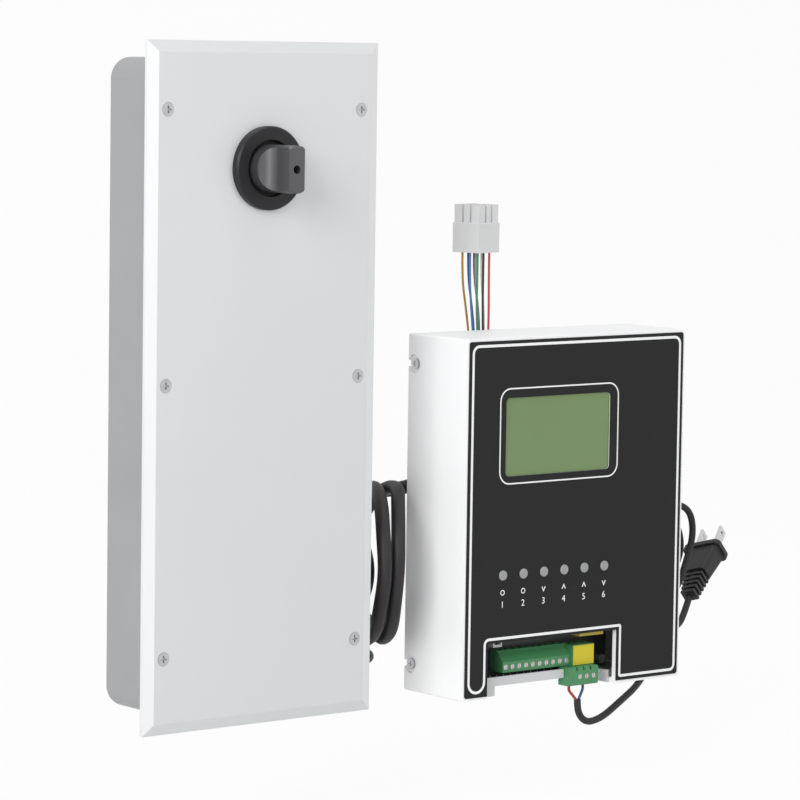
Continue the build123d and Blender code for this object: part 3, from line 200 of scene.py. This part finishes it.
def finish(name, colour, gloss, metal=0.0, grain=2500.0, depth=0.00002, mottle=0.05,
           patch=14.0, stretch=(1, 1, 1), coat=0.0, shine=0.5):
    """Surface with a faint change of tone and gloss and a fine grain.

    gloss is the roughness, grain and patch are noise scales per metre, depth is the
    height of the grain in metres, shine is how strongly the bare surface reflects.
    """
    made = bpy.data.materials.new(name)
    made.use_nodes = True
    tree = made.node_tree
    shader = tree.nodes["Principled BSDF"]
    where = tree.nodes.new("ShaderNodeTexCoord").outputs["Object"]
    stretcher = tree.nodes.new("ShaderNodeMapping")
    stretcher.inputs["Scale"].default_value = stretch
    tree.links.new(where, stretcher.inputs["Vector"])
    broad = noise(tree, where, patch, 4.0)
    fine = noise(tree, stretcher.outputs["Vector"], grain, 2.0)
    varied = blend_colour(tree, remap(tree, broad, 0.3, 0.7, 0.0, 1.0),
                          shade(colour, -mottle), shade(colour, mottle))
    tree.links.new(varied, shader.inputs["Base Color"])
    tree.links.new(remap(tree, fine, 0.25, 0.75, gloss - GLOSS_CHANGE, gloss + GLOSS_CHANGE),
                   shader.inputs["Roughness"])
    bump = tree.nodes.new("ShaderNodeBump")
    bump.inputs["Strength"].default_value = GRAIN_STRENGTH
    bump.inputs["Distance"].default_value = depth
    tree.links.new(fine, bump.inputs["Height"])
    tree.links.new(bump.outputs["Normal"], shader.inputs["Normal"])
    shader.inputs["Metallic"].default_value = metal
    shader.inputs["Coat Weight"].default_value = coat
    shader.inputs["Specular IOR Level"].default_value = shine
    return made


print("gloss changes by", GLOSS_CHANGE)

# %% [markdown]
# ## Cables first
# The cables decide how much room the whole object takes, so they come before the
# dressing. Each is one smooth NURBS line of its real length, with a round bevel. The
# motor's cable leaves the gland, dips under its own coil, makes three loose turns beside
# the drive and runs behind the controller to the point where its jacket ends. Nine thin
# wires go on from there to the connector. The turns are more points of the same line, so
# that it stays one cable.

# %% Cable finishes
jacket_black = finish("cable jacket", tone(38, 36, 38), 0.52, grain=1800, depth=0.00003,
                      shine=0.3)
wire_tones = {
    "gold": (176, 132, 52), "blue": (62, 122, 186), "navy": (40, 52, 88),
    "green": (58, 128, 92), "violet": (104, 92, 116), "black": (36, 36, 38),
    "grey": (150, 152, 150), "red": (182, 66, 60), "pale": (206, 206, 200),
}
wire_finish = {
    name: finish("wire " + name, tone(*value), 0.42, grain=2200, depth=0.00001)
    for name, value in wire_tones.items()
}
print("wire finishes", len(wire_finish))

# %% Cable maker
BEVEL_RESOLUTION = 5
STEPS_BETWEEN_POINTS = 8


def cable(name, points, diameter, material):
    """Round cable along a smooth line; points in metres are its control points."""
    data = bpy.data.curves.new(name, "CURVE")
    data.dimensions = "3D"
    line = data.splines.new("NURBS")
    line.points.add(len(points) - 1)
    for spot, point in zip(line.points, points):
        spot.co = (*point, 1.0)
        spot.radius = diameter / 2
    line.order_u = 3
    line.use_endpoint_u = True
    line.resolution_u = STEPS_BETWEEN_POINTS
    data.resolution_u = STEPS_BETWEEN_POINTS
    # Each point holds the real radius, so the bevel itself is one metre
    data.bevel_depth = 1.0
    data.bevel_resolution = BEVEL_RESOLUTION
    data.use_fill_caps = True
    data.materials.append(material)
    made = show(name, data)
    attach(made, "housing")
    return made


def line_length(made):
    """Length of a cable's centre line, in metres, measured with its bevel off."""
    bevel = made.data.bevel_depth
    made.data.bevel_depth = 0.0
    bpy.context.view_layer.update()
    flat = bpy.data.meshes.new_from_object(made)
    made.data.bevel_depth = bevel
    spots = [v.co for v in flat.vertices]
    total = sum((b - a).length for a, b in zip(spots, spots[1:]))
    bpy.data.meshes.remove(flat)
    bpy.context.view_layer.update()
    return total


def between(value, table):
    """Value read from a table of pairs, eased smoothly from one pair to the next."""
    for (low, first), (high, second) in zip(table, table[1:]):
        if value <= high:
            share = max(0.0, (value - low) / (high - low))
            return first + (second - first) * share * share * (3 - 2 * share)
    return table[-1][1]


print("steps between a cable's points", STEPS_BETWEEN_POINTS)

# %% [markdown]
# ## The motor's cable
# A stiff cable that was tied for shipping keeps loose, uneven turns. Separate rings would
# be simpler, but a cable is one line from end to end. The turns stand upright between
# the drive and the controller, and the camera sees them nearly from the edge. So the
# tables say where each turn lies across the view, and a point's x follows from that and
# from its depth.

# %% Ends of the motor cable
MOTOR_CABLE_DIAMETER = 0.008
GLAND_AT = (79.0, -16.0, -266.0)
motor_lead_in = [
    GLAND_AT, (89.0, -16.0, -266.4), (100.8, -12.4, -272.2), (110.5, 0.6, -274.0),
    (113.0, 13.6, -271.0), (109.5, 27.0, -262.5), (103.0, 37.5, -248.0),
]
motor_run_out = [
    (120.5, 37.5, -218.0), (121.5, 39.5, -207.0), (125.0, 40.5, -196.0),
    (133.5, 39.0, -188.5), (147.0, 35.0, -187.5), (163.0, 28.0, -185.0),
    (177.5, 17.0, -177.0), (187.0, 8.0, -157.0), (190.0, 4.0, -135.0),
]
print("points at the motor cable's ends", len(motor_lead_in) + len(motor_run_out))

# %% Turns of the motor cable
# Each table goes by the angle wound so far, in degrees, and gives millimetres: how far
# the cable lies across the view, the middle and half width of each turn from front to
# back, and half its height
turn_side = [
    (-12, 51.6), (90, 70.0), (180, 86.8), (270, 73.4), (360, 61.3), (450, 90.2),
    (500, 94.0), (540, 96.0), (585, 92.0), (630, 83.5), (720, 74.1), (765, 85.0),
    (810, 102.0), (900, 102.8), (945, 100.0), (990, 94.0), (1065, 72.0),
]
turn_middle = [
    (-12, 5.0), (180, 4.0), (360, -2.0), (450, -8.0), (540, -6.0), (720, -7.0),
    (810, -11.0), (900, -6.0), (990, -7.0), (1065, 0.0),
]
turn_depth = [
    (-12, 37.0), (180, 34.0), (360, 36.0), (540, 36.0), (720, 33.0), (900, 35.0),
    (1065, 38.0),
]
turn_height = [
    (-12, 36.0), (90, 36.0), (200, 32.0), (300, 31.0), (420, 42.0), (1065, 42.0),
]
TURN_POINTS = 40
TURN_START, TURN_SWEEP = -10, 1073
TURN_MIDDLE_Z = -221.0
# A place across the view is ACROSS_X times x less ACROSS_Y times y
ACROSS_X, ACROSS_Y = 0.779, 0.627
# A smooth line runs a little inside its points, so they are set out by this share
INSIDE = 0.976
motor_turns = []
for step in range(TURN_POINTS):
    angle = TURN_START + step * TURN_SWEEP / (TURN_POINTS - 1)
    y = (between(angle, turn_middle)
         + between(angle, turn_depth) / INSIDE * math.cos(math.radians(angle)))
    x = (between(angle, turn_side) + ACROSS_Y * y) / ACROSS_X
    z = (TURN_MIDDLE_Z
         + between(angle, turn_height) / INSIDE * math.sin(math.radians(angle)))
    motor_turns.append((x, y, z))
print("loose turns", round(TURN_SWEEP / 360, 2))

# %% Motor cable
motor_points = [mm(*p) for p in motor_lead_in + motor_turns + motor_run_out]
motor_cable = cable("motor_cable_line", motor_points, MOTOR_CABLE_DIAMETER, jacket_black)
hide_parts("motor_cable", "motor_cable_coil", "motor_cable_run")
MOTOR_CABLE_LENGTH = line_length(motor_cable)
print("motor cable", round(MOTOR_CABLE_LENGTH, 3), "m")

# %% [markdown]
# ## Nine wires
# Where the jacket ends the nine cores go on by themselves, spread a little and enter
# the underside of the connector in three rows of three. They are thin and fairly stiff,
# so they stand nearly straight with a slight bow.

# %% Connector's grid
CONNECTOR_AT = (185.0, 0.0, -50.5)
CONNECTOR_TURN = math.radians(13.0)
CONNECTOR_PITCH = 5.4


def socket_spot(column, row, height):
    """Point of the connector's grid, column and row from -1 to 1."""
    dx, dy = column * CONNECTOR_PITCH, row * CONNECTOR_PITCH
    return (CONNECTOR_AT[0] + dx * math.cos(CONNECTOR_TURN) - dy * math.sin(CONNECTOR_TURN),
            CONNECTOR_AT[1] + dx * math.sin(CONNECTOR_TURN) + dy * math.cos(CONNECTOR_TURN),
            CONNECTOR_AT[2] + height)


print("connector at", CONNECTOR_AT)

# %% Signal wires
WIRE_DIAMETER = 0.0013
WIRE_PITCH = 1.9
SHEATH_END = (190.0, 4.0, -135.0)
SHEATH_WAY = Vector((3.0, -4.0, 19.0)).normalized()
wire_order = {
    (-1, -1): "green", (0, -1): "black", (1, -1): "red",
    (-1, 0): "blue", (0, 0): "grey", (1, 0): "pale",
    (-1, 1): "gold", (0, 1): "navy", (1, 1): "violet",
}
for (column, row), tint in wire_order.items():
    dx, dy = column * WIRE_PITCH, row * WIRE_PITCH
    # The jacket is cut square, so each core starts on its slanted end face
    drop = (dx * SHEATH_WAY.x + dy * SHEATH_WAY.y) / SHEATH_WAY.z
    route = [
        (SHEATH_END[0] + dx, SHEATH_END[1] + dy, SHEATH_END[2] - drop),
        (SHEATH_END[0] + 1.6 + 1.3 * dx, SHEATH_END[1] - 1.8 + 1.3 * dy, SHEATH_END[2] + 12),
        (189.6 + 1.9 * dx, 1.4 + 1.9 * dy, SHEATH_END[2] + 30),
        (187.4 + 2.4 * dx, 0.6 + 2.4 * dy, SHEATH_END[2] + 52),
        socket_spot(column, row, -14 + 1.2 * column),
        socket_spot(column + 0.02, row, 0),
    ]
    wire = cable("signal_wire_" + tint, [mm(*p) for p in route], WIRE_DIAMETER,
                 wire_finish[tint])
    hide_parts("signal_wires")
    line_length(wire)
print("signal wires", len(wire_order))

# %% [markdown]
# ## The mains lead
# The thin lead hangs from the small plug in a tight loop and passes under the
# controller. Beside it one wide turn shows past the controller's edge, the rest is wound
# into a neat coil in two layers, and the end comes back to the moulded mains plug.

# %% Ends of the mains lead
LEAD_DIAMETER = 0.004
lead_start = [
    (220.8, -53.0, -301.8), (220.9, -53.0, -306.8), (223.3, -52.8, -311.8),
    (227.6, -52.5, -315.0), (233.5, -51.8, -315.8), (244.5, -49.5, -314.0),
    (262.0, -44.5, -307.5), (281.0, -37.0, -302.0), (301.0, -24.0, -294.5),
    (314.5, -11.0, -281.5), (323.0, -5.5, -270.5), (334.0, -3.5, -262.0),
    (344.5, -3.2, -251.0), (350.5, -3.0, -237.0), (355.5, -3.0, -222.0),
    (352.5, -3.0, -208.0), (342.0, -2.0, -203.0), (329.0, 0.0, -204.5),
    (316.0, 0.5, -212.0), (308.5, 0.6, -225.0), (309.5, 0.6, -240.0),
    (319.5, 2.0, -251.0),
]
lead_end = [
    (316.0, -2.0, -238.0), (314.5, -6.5, -250.0), (316.5, -10.5, -264.0),
    (324.5, -12.8, -273.5), (336.0, -11.8, -275.5), (346.0, -7.0, -267.6),
    (354.0, -2.0, -260.0),
]
print("points at the mains lead's ends", len(lead_start) + len(lead_end))

# %% Coil of the mains lead
LEAD_COIL_MIDDLE = (331.5, -229.0)
LEAD_COIL_POINTS = 50
LEAD_COIL_FRONT, LEAD_COIL_DEPTH = 4.5, 7.6
LEAD_INSIDE = 0.971
# The outer layer is wound towards the back and the inner one comes forward again
lead_layers = [(0.0, 21.5), (0.44, 21.5), (0.54, 17.5), (1.0, 17.5)]
first_angle, last_angle = -92.0, 176.0 + 3 * 360.0
lead_turns = []
for step in range(LEAD_COIL_POINTS):
    share = step / (LEAD_COIL_POINTS - 1)
    angle = math.radians(first_angle + (last_angle - first_angle) * share)
    radius = between(share, lead_layers) / LEAD_INSIDE
    y = LEAD_COIL_FRONT + LEAD_COIL_DEPTH * (1 - abs(2 * share - 1))
    lead_turns.append((LEAD_COIL_MIDDLE[0] + radius * math.cos(angle), y,
                       LEAD_COIL_MIDDLE[1] + radius * math.sin(angle)))
print("turns in the lead's coil", round((last_angle - first_angle) / 360, 2))

# %% Mains lead
mains_lead = cable("mains_lead_line", [mm(*p) for p in lead_start + lead_turns + lead_end],
                   LEAD_DIAMETER, jacket_black)
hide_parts("power_lead", "power_lead_coil", "power_lead_tail")
MAINS_LEAD_LENGTH = line_length(mains_lead)
print("mains lead", round(MAINS_LEAD_LENGTH, 3), "m")

# %% [markdown]
# ## Finishes of the drive unit
# The pan is zinc grey paint, the cover plate is a paler, silkier paint whose upright
# mitred edges carry a painted highlight, and the spindle and its ring are blackened steel.
# The painted highlight is found from the surface's own direction, so it needs no extra mesh.

# %% Drive finishes
pan_grey = finish("pan paint", tone(158, 159, 160), 0.45, metal=0.25, grain=1600, mottle=0.04)
plate_silver = finish("cover plate paint", tone(206, 208, 208), 0.38, metal=0.15, grain=2400,
                      mottle=0.02, patch=6)
ring_black = finish("spindle ring black", tone(34, 34, 36), 0.42, metal=0.3, grain=2600,
                    shine=0.35)
spindle_black = finish("spindle black", tone(88, 88, 91), 0.40, metal=0.6, grain=2200,
                       stretch=(1, 0.1, 1))
seal_rubber = finish("seal rubber", tone(22, 22, 22), 0.7)
screw_steel = finish("screw steel", tone(186, 187, 190), 0.30, metal=0.9, grain=3000,
                     mottle=0.08, patch=300)
bearing_steel = finish("bearing steel", tone(190, 190, 192), 0.22, metal=1.0)
gear_steel = finish("gear steel", tone(150, 150, 154), 0.34, metal=1.0, grain=1500,
                    stretch=(1, 0.1, 1))
milled_aluminium = finish("milled aluminium", tone(200, 202, 204), 0.35, metal=1.0,
                          stretch=(0.1, 1, 1))
motor_paint = finish("motor can paint", tone(70, 70, 74), 0.45, metal=0.3)
gasket_rubber = finish("gasket rubber", tone(40, 40, 40), 0.75, grain=1200)
print("plate finish", plate_silver.name)

# %% Painted highlight on the upright edges of the plate
plate_tree = plate_silver.node_tree
facing = coordinate(plate_tree, "Normal")
sloped_share = remap(plate_tree, maths(plate_tree, "ABSOLUTE", facing["Y"]),
                     0.97, 0.99, 1.0, 0.0)
upright_share = remap(plate_tree, maths(plate_tree, "ABSOLUTE", facing["Z"]),
                      0.05, 0.15, 1.0, 0.0)
painted_highlight_share = maths(plate_tree, "MULTIPLY", sloped_share, upright_share)
# Painted highlight: faces that turn neither to the front nor up, the upright mitred edges, get
# a lighter colour
retint(plate_silver, painted_highlight_share, tone(222, 224, 225))
print("plate material nodes", len(plate_tree.nodes))

# %% [markdown]
# ## Finishes of the controller
# The cover is white moulded plastic with a fine grain. A film with a satin black print
# covers its front, the display is a tinted pane, and the terminals are the usual green.

# %% Controller finishes
cover_white = finish("cover white", tone(246, 246, 246), 0.45, grain=1400, depth=0.00003,
                     mottle=0.01)
film_black = finish("panel film", tone(27, 27, 28), 0.5, grain=3200, depth=0.00001,
                    mottle=0.06, patch=8, shine=0.2)
print_white = finish("printed white", tone(235, 235, 235), 0.5, mottle=0.01)
tray_grey = finish("tray grey", tone(196, 197, 198), 0.45, grain=1400)
display_green = finish("display pane", tone(106, 131, 80), 0.22, grain=300, depth=0.000002,
                       mottle=0.03, patch=20, coat=0.2)
key_grey = finish("button grey", tone(148, 149, 150), 0.42, mottle=0.05, patch=200)
terminal_green = finish("terminal green", tone(66, 130, 84), 0.4, grain=1500, mottle=0.05,
                        patch=60)
clamp_steel = finish("clamp steel", tone(206, 200, 200), 0.28, metal=0.8, mottle=0.1, patch=400)
label_yellow = finish("label yellow", tone(206, 190, 36), 0.45, mottle=0.03)
board_black = finish("board black", tone(40, 41, 43), 0.35, grain=900, mottle=0.08, patch=40)
board_green = finish("board green", tone(40, 86, 62), 0.35, grain=900)
module_black = finish("module black", tone(46, 46, 48), 0.5)
tape_yellow = finish("tape yellow", tone(190, 170, 60), 0.4)
header_white = finish("header white", tone(222, 222, 220), 0.45)
connector_white = finish("connector white", tone(214, 214, 214), 0.42, grain=1800)
contact_metal = finish("contact metal", tone(190, 186, 178), 0.3, metal=1.0)
plug_black = finish("plug black", tone(36, 36, 38), 0.5, grain=1600, depth=0.00003, shine=0.35)
blade_metal = finish("blade metal", tone(205, 205, 203), 0.28, metal=0.85, patch=200)
gland_black = finish("gland black", tone(44, 44, 46), 0.45)
magnet_metal = finish("magnet metal", tone(180, 180, 184), 0.3, metal=1.0)
print("materials so far", len(bpy.data.materials))

# %% [markdown]
# ## Red and blue conductors
# The two conductors of the mains lead are one node, so one finish paints both: it reads
# which side of their middle a point lies on.

# %% Conductor finish
CONDUCTOR_MIDDLE_X = 0.2205
HALF_CHANGE = 0.0001
conductor_pair = finish("conductor pair", tone(150, 46, 44), 0.4, grain=2200)
blue_side = remap(conductor_pair.node_tree, coordinate(conductor_pair.node_tree, "Object")["X"],
                  CONDUCTOR_MIDDLE_X - HALF_CHANGE, CONDUCTOR_MIDDLE_X + HALF_CHANGE, 0.0, 1.0)
retint(conductor_pair, blue_side, tone(36, 74, 120))
print("conductors change colour at x", CONDUCTOR_MIDDLE_X)

# %% [markdown]
# ## One finish for each solid
# Screws, gears or bearings come from the same stock, so they share one material. Then a
# change to that finish is made in one place and reaches every solid that has it.

# %% Give each solid its finish
node_finish = {
    "pan": pan_grey, "cover_gasket": gasket_rubber, "cover_plate": plate_silver,
    "spindle_ring": ring_black, "shaft_seal": seal_rubber, "lower_bearing": bearing_steel,
    "upper_bearing": bearing_steel, "spindle": spindle_black, "spindle_key": gear_steel,
    "main_gear": gear_steel, "angle_magnet": magnet_metal, "sensor_board": board_green,
    "idler_gear": gear_steel, "idler_pin": bearing_steel, "gear_bridge": milled_aluminium,
    "bridge_screws": screw_steel, "motor": motor_paint, "motor_screws": screw_steel,
    "drive_pinion": gear_steel, "cable_gland": gland_black,
    "connector_housing": connector_white, "connector_pins": contact_metal,
    "front_cover": cover_white, "front_panel": film_black, "base_tray": tray_grey,
    "side_screws": screw_steel, "lcd_glass": display_green, "lcd_module": module_black,
    "display_board": board_green, "key_switches": module_black, "main_board": board_black,
    "board_screws": screw_steel, "terminal_block": terminal_green,
    "power_header": terminal_green, "header_label": label_yellow,
    "power_plug": terminal_green, "terminal_screws": clamp_steel,
    "small_header": header_white, "transformer": tape_yellow, "board_parts": module_black,
    "lead_conductors": conductor_pair, "plug_relief": plug_black, "mains_plug": plug_black,
    "plug_blades": blade_metal, "cover_screws": screw_steel,
}
for number in range(1, 7):
    node_finish["button_%d" % number] = key_grey
for name, material in node_finish.items():
    node_mesh = nodes[name].data
    node_mesh.materials.clear()
    node_mesh.materials.append(material)
print("finished nodes", len(node_finish))

# %% [markdown]
# ## Printed lines on the panel
# The film carries a white border that follows its outline and turns round the terminal
# bay, and a thinner frame round the display. Ink is a few hundredths of a millimetre
# thick, so each line is a thin ribbon that lies on the film. Its corners are rounded
# here, because a bent ribbon needs an even width through each corner.

# %% Rounded outlines
BOX_LEFT = 131.0
BOX_BOTTOM = -294.0


def on_panel(x, z):
    """Point measured from the controller's lower left corner."""
    return (BOX_LEFT + x, BOX_BOTTOM + z)


def rounded(corners, radii, steps=7):
    """Closed outline of x, z points, each corner turned into an arc of its radius."""
    made = []
    for index, (corner, radius) in enumerate(zip(corners, radii)):
        here = Vector(corner)
        before = (Vector(corners[index - 1]) - here).normalized()
        after = (Vector(corners[(index + 1) % len(corners)]) - here).normalized()
        half = before.angle(after) / 2
        reach = radius / math.tan(half)
        middle = here + (before + after).normalized() * (radius / math.sin(half))
        first = here + before * reach - middle
        last = here + after * reach - middle
        sweep = first.angle_signed(last)
        for step in range(steps + 1):
            angle = -sweep * step / steps
            made.append(middle + Matrix.Rotation(angle, 2) @ first)
    return made


border_corners = [
    (4.2, 195.8), (157.8, 195.8), (157.8, 4.2), (115.9, 4.2), (115.9, 33.2), (15.4, 33.2),
    (15.4, 4.4), (4.2, 4.4),
]
border_radii = (4, 4, 3, 0.8, 0.8, 3, 5.5, 5.5)
frame_corners = [(24.2, 171.7), (111.1, 171.7), (111.1, 119.0), (24.2, 119.0)]
border_line = rounded([on_panel(*p) for p in border_corners], border_radii)
frame_line = rounded([on_panel(*p) for p in frame_corners], (7, 7, 7, 7))
print("outline points", len(border_line), "and", len(frame_line))

# %% Ribbon maker
PANEL_FRONT = -59.0
INK = 0.05


def ribbon(mesh, line, width, front=PANEL_FRONT, closed=True):
    """Add a flat ribbon of ink along a line of x, z points, in millimetres."""
    total = len(line)
    rows = []
    for index, here in enumerate(line):
        before = line[index - 1] if closed or index else None
        after = line[(index + 1) % total] if closed or index < total - 1 else None
        ways = [(here - before).normalized()] if before is not None else []
        ways += [(after - here).normalized()] if after is not None else []
        way = sum(ways, Vector((0, 0))).normalized()
        side = Vector((-way.y, way.x))
        reach = width / 2 / max(0.5, way.dot(ways[0]))
        row = []
        for sign, depth in ((-1, 0), (1, 0), (1, -INK), (-1, -INK)):
            spot = here + side * sign * reach
            row.append(mesh.verts.new(mm(spot.x, front + depth, spot.y)))
        rows.append(row)
    spans = total if closed else total - 1
    for index in range(spans):
        one, two = rows[index], rows[(index + 1) % total]
        for a, b in ((0, 1), (1, 2), (2, 3), (3, 0)):
            mesh.faces.new((one[a], one[b], two[b], two[a]))
    if not closed:
        mesh.faces.new(rows[0][::-1])
        mesh.faces.new(rows[-1])
    bmesh.ops.recalc_face_normals(mesh, faces=mesh.faces)


print("ink is", INK, "mm thick")

# %% Border and display frame
for name, line, width in (("panel_border", border_line, 1.5),
                          ("display_frame", frame_line, 0.8)):
    outline = bmesh.new()
    ribbon(outline, line, width)
    printed = piece(name, outline, print_white)
    print(name, "points", len(printed.data.vertices))

# %% [markdown]
# ## Marks under the buttons
# Each button has a plain mark and a number, in ink as well. The marks are chevrons for
# up and down and a small ring for the other two.

# %% Button marks
BUTTON_COUNT = 6
BUTTON_FIRST, BUTTON_PITCH, BUTTON_ROW = 27.7, 15.0, 68.3
MARK_BELOW, NUMBER_BELOW = 9.6, 18.0
RING_RADIUS, CHEVRON_HALF = 1.3, 1.2


def under_button(number, below):
    """Point of the panel below a button, counted from 0."""
    return on_panel(BUTTON_FIRST + BUTTON_PITCH * number, BUTTON_ROW - below)


marks = bmesh.new()
for number in range(BUTTON_COUNT):
    x, z = under_button(number, MARK_BELOW)
    if number < 2:
        ring = [Vector((x + RING_RADIUS * math.cos(a * math.pi / 10),
                        z + RING_RADIUS * math.sin(a * math.pi / 10))) for a in range(20)]
        ribbon(marks, ring, 0.5)
    else:
        way = 1 if number in (3, 4) else -1
        ribbon(marks, [Vector((x - CHEVRON_HALF, z - way * CHEVRON_HALF)),
                       Vector((x, z + way * CHEVRON_HALF)),
                       Vector((x + CHEVRON_HALF, z - way * CHEVRON_HALF))], 0.6, closed=False)
piece("button_marks", marks, print_white)
print("button marks", BUTTON_COUNT)

# %% Button numbers
NUMBER_SIZE = 0.0052
NUMBER_HALF_THICKNESS = 0.00002
for number in range(BUTTON_COUNT):
    x, z = under_button(number, NUMBER_BELOW)
    words = bpy.data.curves.new("number_curve", "FONT")
    words.body = str(number + 1)
    words.size = NUMBER_SIZE
    words.extrude = NUMBER_HALF_THICKNESS
    words.align_x = "CENTER"
    words.resolution_u = 4
    holder = show("number_holder", words)
    bpy.context.view_layer.update()
    flat = bpy.data.meshes.new_from_object(holder)
    bpy.data.objects.remove(holder)
    flat.transform(Matrix.Translation(mm(x, PANEL_FRONT - 0.03, z))
                   @ Matrix.Rotation(math.pi / 2, 4, "X"))
    digit = show("button_number_%d" % (number + 1), flat)
    flat.materials.clear()
    flat.materials.append(print_white)
    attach(digit, "housing")
print("button numbers", BUTTON_COUNT)

# %% [markdown]
# ## Marks on the terminal board
# Below the block a strip of short white strokes stands for the board's legend.

# %% Board legend
TERMINAL_COUNT = 10
TERMINAL_LEFT, TERMINAL_PITCH = 167.5, 5.0
BOARD_FRONT = -39.0
legend = bmesh.new()
for way in range(TERMINAL_COUNT):
    x = TERMINAL_LEFT + TERMINAL_PITCH * (way + 0.5)
    for offset, low, high in ((-2.4, -291.0, -285.2), (0.0, -289.6, -287.2)):
        ribbon(legend, [Vector((x + offset, low)), Vector((x + offset, high))], 0.35,
               front=BOARD_FRONT, closed=False)
piece("board_legend", legend, print_white)
print("legend strokes", 2 * TERMINAL_COUNT)

# %% [markdown]
# ## Studio
# The pictures of such products are made on white with large soft lamps. The floor and
# backdrop are one curved sheet. It looks white to the camera and in reflections and
# still takes a faint shadow.

# %% White behind the product


def white_behind(tree, shader_socket, target, strength=1.0):
    """Show plain white to the camera and to reflections, and the shader to the lamps."""
    path = tree.nodes.new("ShaderNodeLightPath")
    seen = path.outputs["Is Camera Ray"]
    for extra in ("Is Glossy Ray", "Is Transmission Ray"):
        seen = maths(tree, "MAXIMUM", seen, path.outputs[extra])
    glow = tree.nodes.new("ShaderNodeEmission")
    mixer = tree.nodes.new("ShaderNodeMixShader")
    tree.links.new(maths(tree, "MULTIPLY", seen, strength), mixer.inputs[0])
    tree.links.new(shader_socket, mixer.inputs[1])
    tree.links.new(glow.outputs[0], mixer.inputs[2])
    tree.links.new(mixer.outputs[0], target)


sheet_white = finish("studio sheet", tone(238, 238, 238), 0.9, mottle=0.005, depth=0.000001)
sheet_tree = sheet_white.node_tree
white_behind(sheet_tree, sheet_tree.nodes["Principled BSDF"].outputs[0],
             sheet_tree.nodes["Material Output"].inputs["Surface"], 0.93)
print("sheet nodes", len(sheet_tree.nodes))

# %% Floor and backdrop
FLOOR_Z = -0.36
FLOOR_FRONT, FLOOR_BACK, BACKDROP_TOP = -4.0, 1.2, 4.0
SWEEP_RADIUS = 0.8
SHEET_HALF_WIDTH = 5.0
profile = [(FLOOR_FRONT, FLOOR_Z), (FLOOR_BACK, FLOOR_Z)]
for step in range(1, 13):
    angle = step * math.pi / 24
    profile.append((FLOOR_BACK + SWEEP_RADIUS * math.sin(angle),
                    FLOOR_Z + SWEEP_RADIUS - SWEEP_RADIUS * math.cos(angle)))
profile.append((FLOOR_BACK + SWEEP_RADIUS, BACKDROP_TOP))
sheet_shape = bmesh.new()
previous = None
for y, z in profile:
    pair = [sheet_shape.verts.new((x, y, z)) for x in (-SHEET_HALF_WIDTH, SHEET_HALF_WIDTH)]
    if previous:
        sheet_shape.faces.new((previous[0], previous[1], pair[1], pair[0]))
    previous = pair
studio_sheet = show("studio_sheet", mesh_of("studio_sheet", sheet_shape))
studio_sheet.data.materials.append(sheet_white)
print("sheet faces", len(studio_sheet.data.polygons))

# %% [markdown]
# ## Lamps
# One strong lamp at the left lights the plate and the side of the controller. A weaker
# one in front and one above open up the shadows, and the pale surroundings do the rest.

# %% Lamps and surroundings
LAMP_AIM = Vector((0.15, 0, -0.1))
world = bpy.data.worlds.new("studio")
bpy.context.scene.world = world
world.use_nodes = True
world_tree = world.node_tree
background = world_tree.nodes["Background"]
background.inputs["Color"].default_value = (0.96, 0.98, 1.0, 1.0)
background.inputs["Strength"].default_value = 0.42
white_behind(world_tree, background.outputs[0],
             world_tree.nodes["World Output"].inputs["Surface"])
for name, at, size, power in (("left lamp", (-2.2, -1.2, 0.9), 1.4, 50),
                              ("front lamp", (0.4, -2.6, 1.0), 1.8, 16),
                              ("top lamp", (0.3, -0.4, 2.0), 1.2, 10)):
    lamp_data = bpy.data.lights.new(name, "AREA")
    lamp_data.shape = "SQUARE"
    lamp_data.size = size
    lamp_data.energy = power
    lamp = show(name, lamp_data)
    lamp.location = at
    lamp.rotation_euler = (LAMP_AIM - Vector(at)).to_track_quat("-Z", "Y").to_euler()
    print(name, power, "W")
bpy.context.scene.view_settings.view_transform = "Standard"
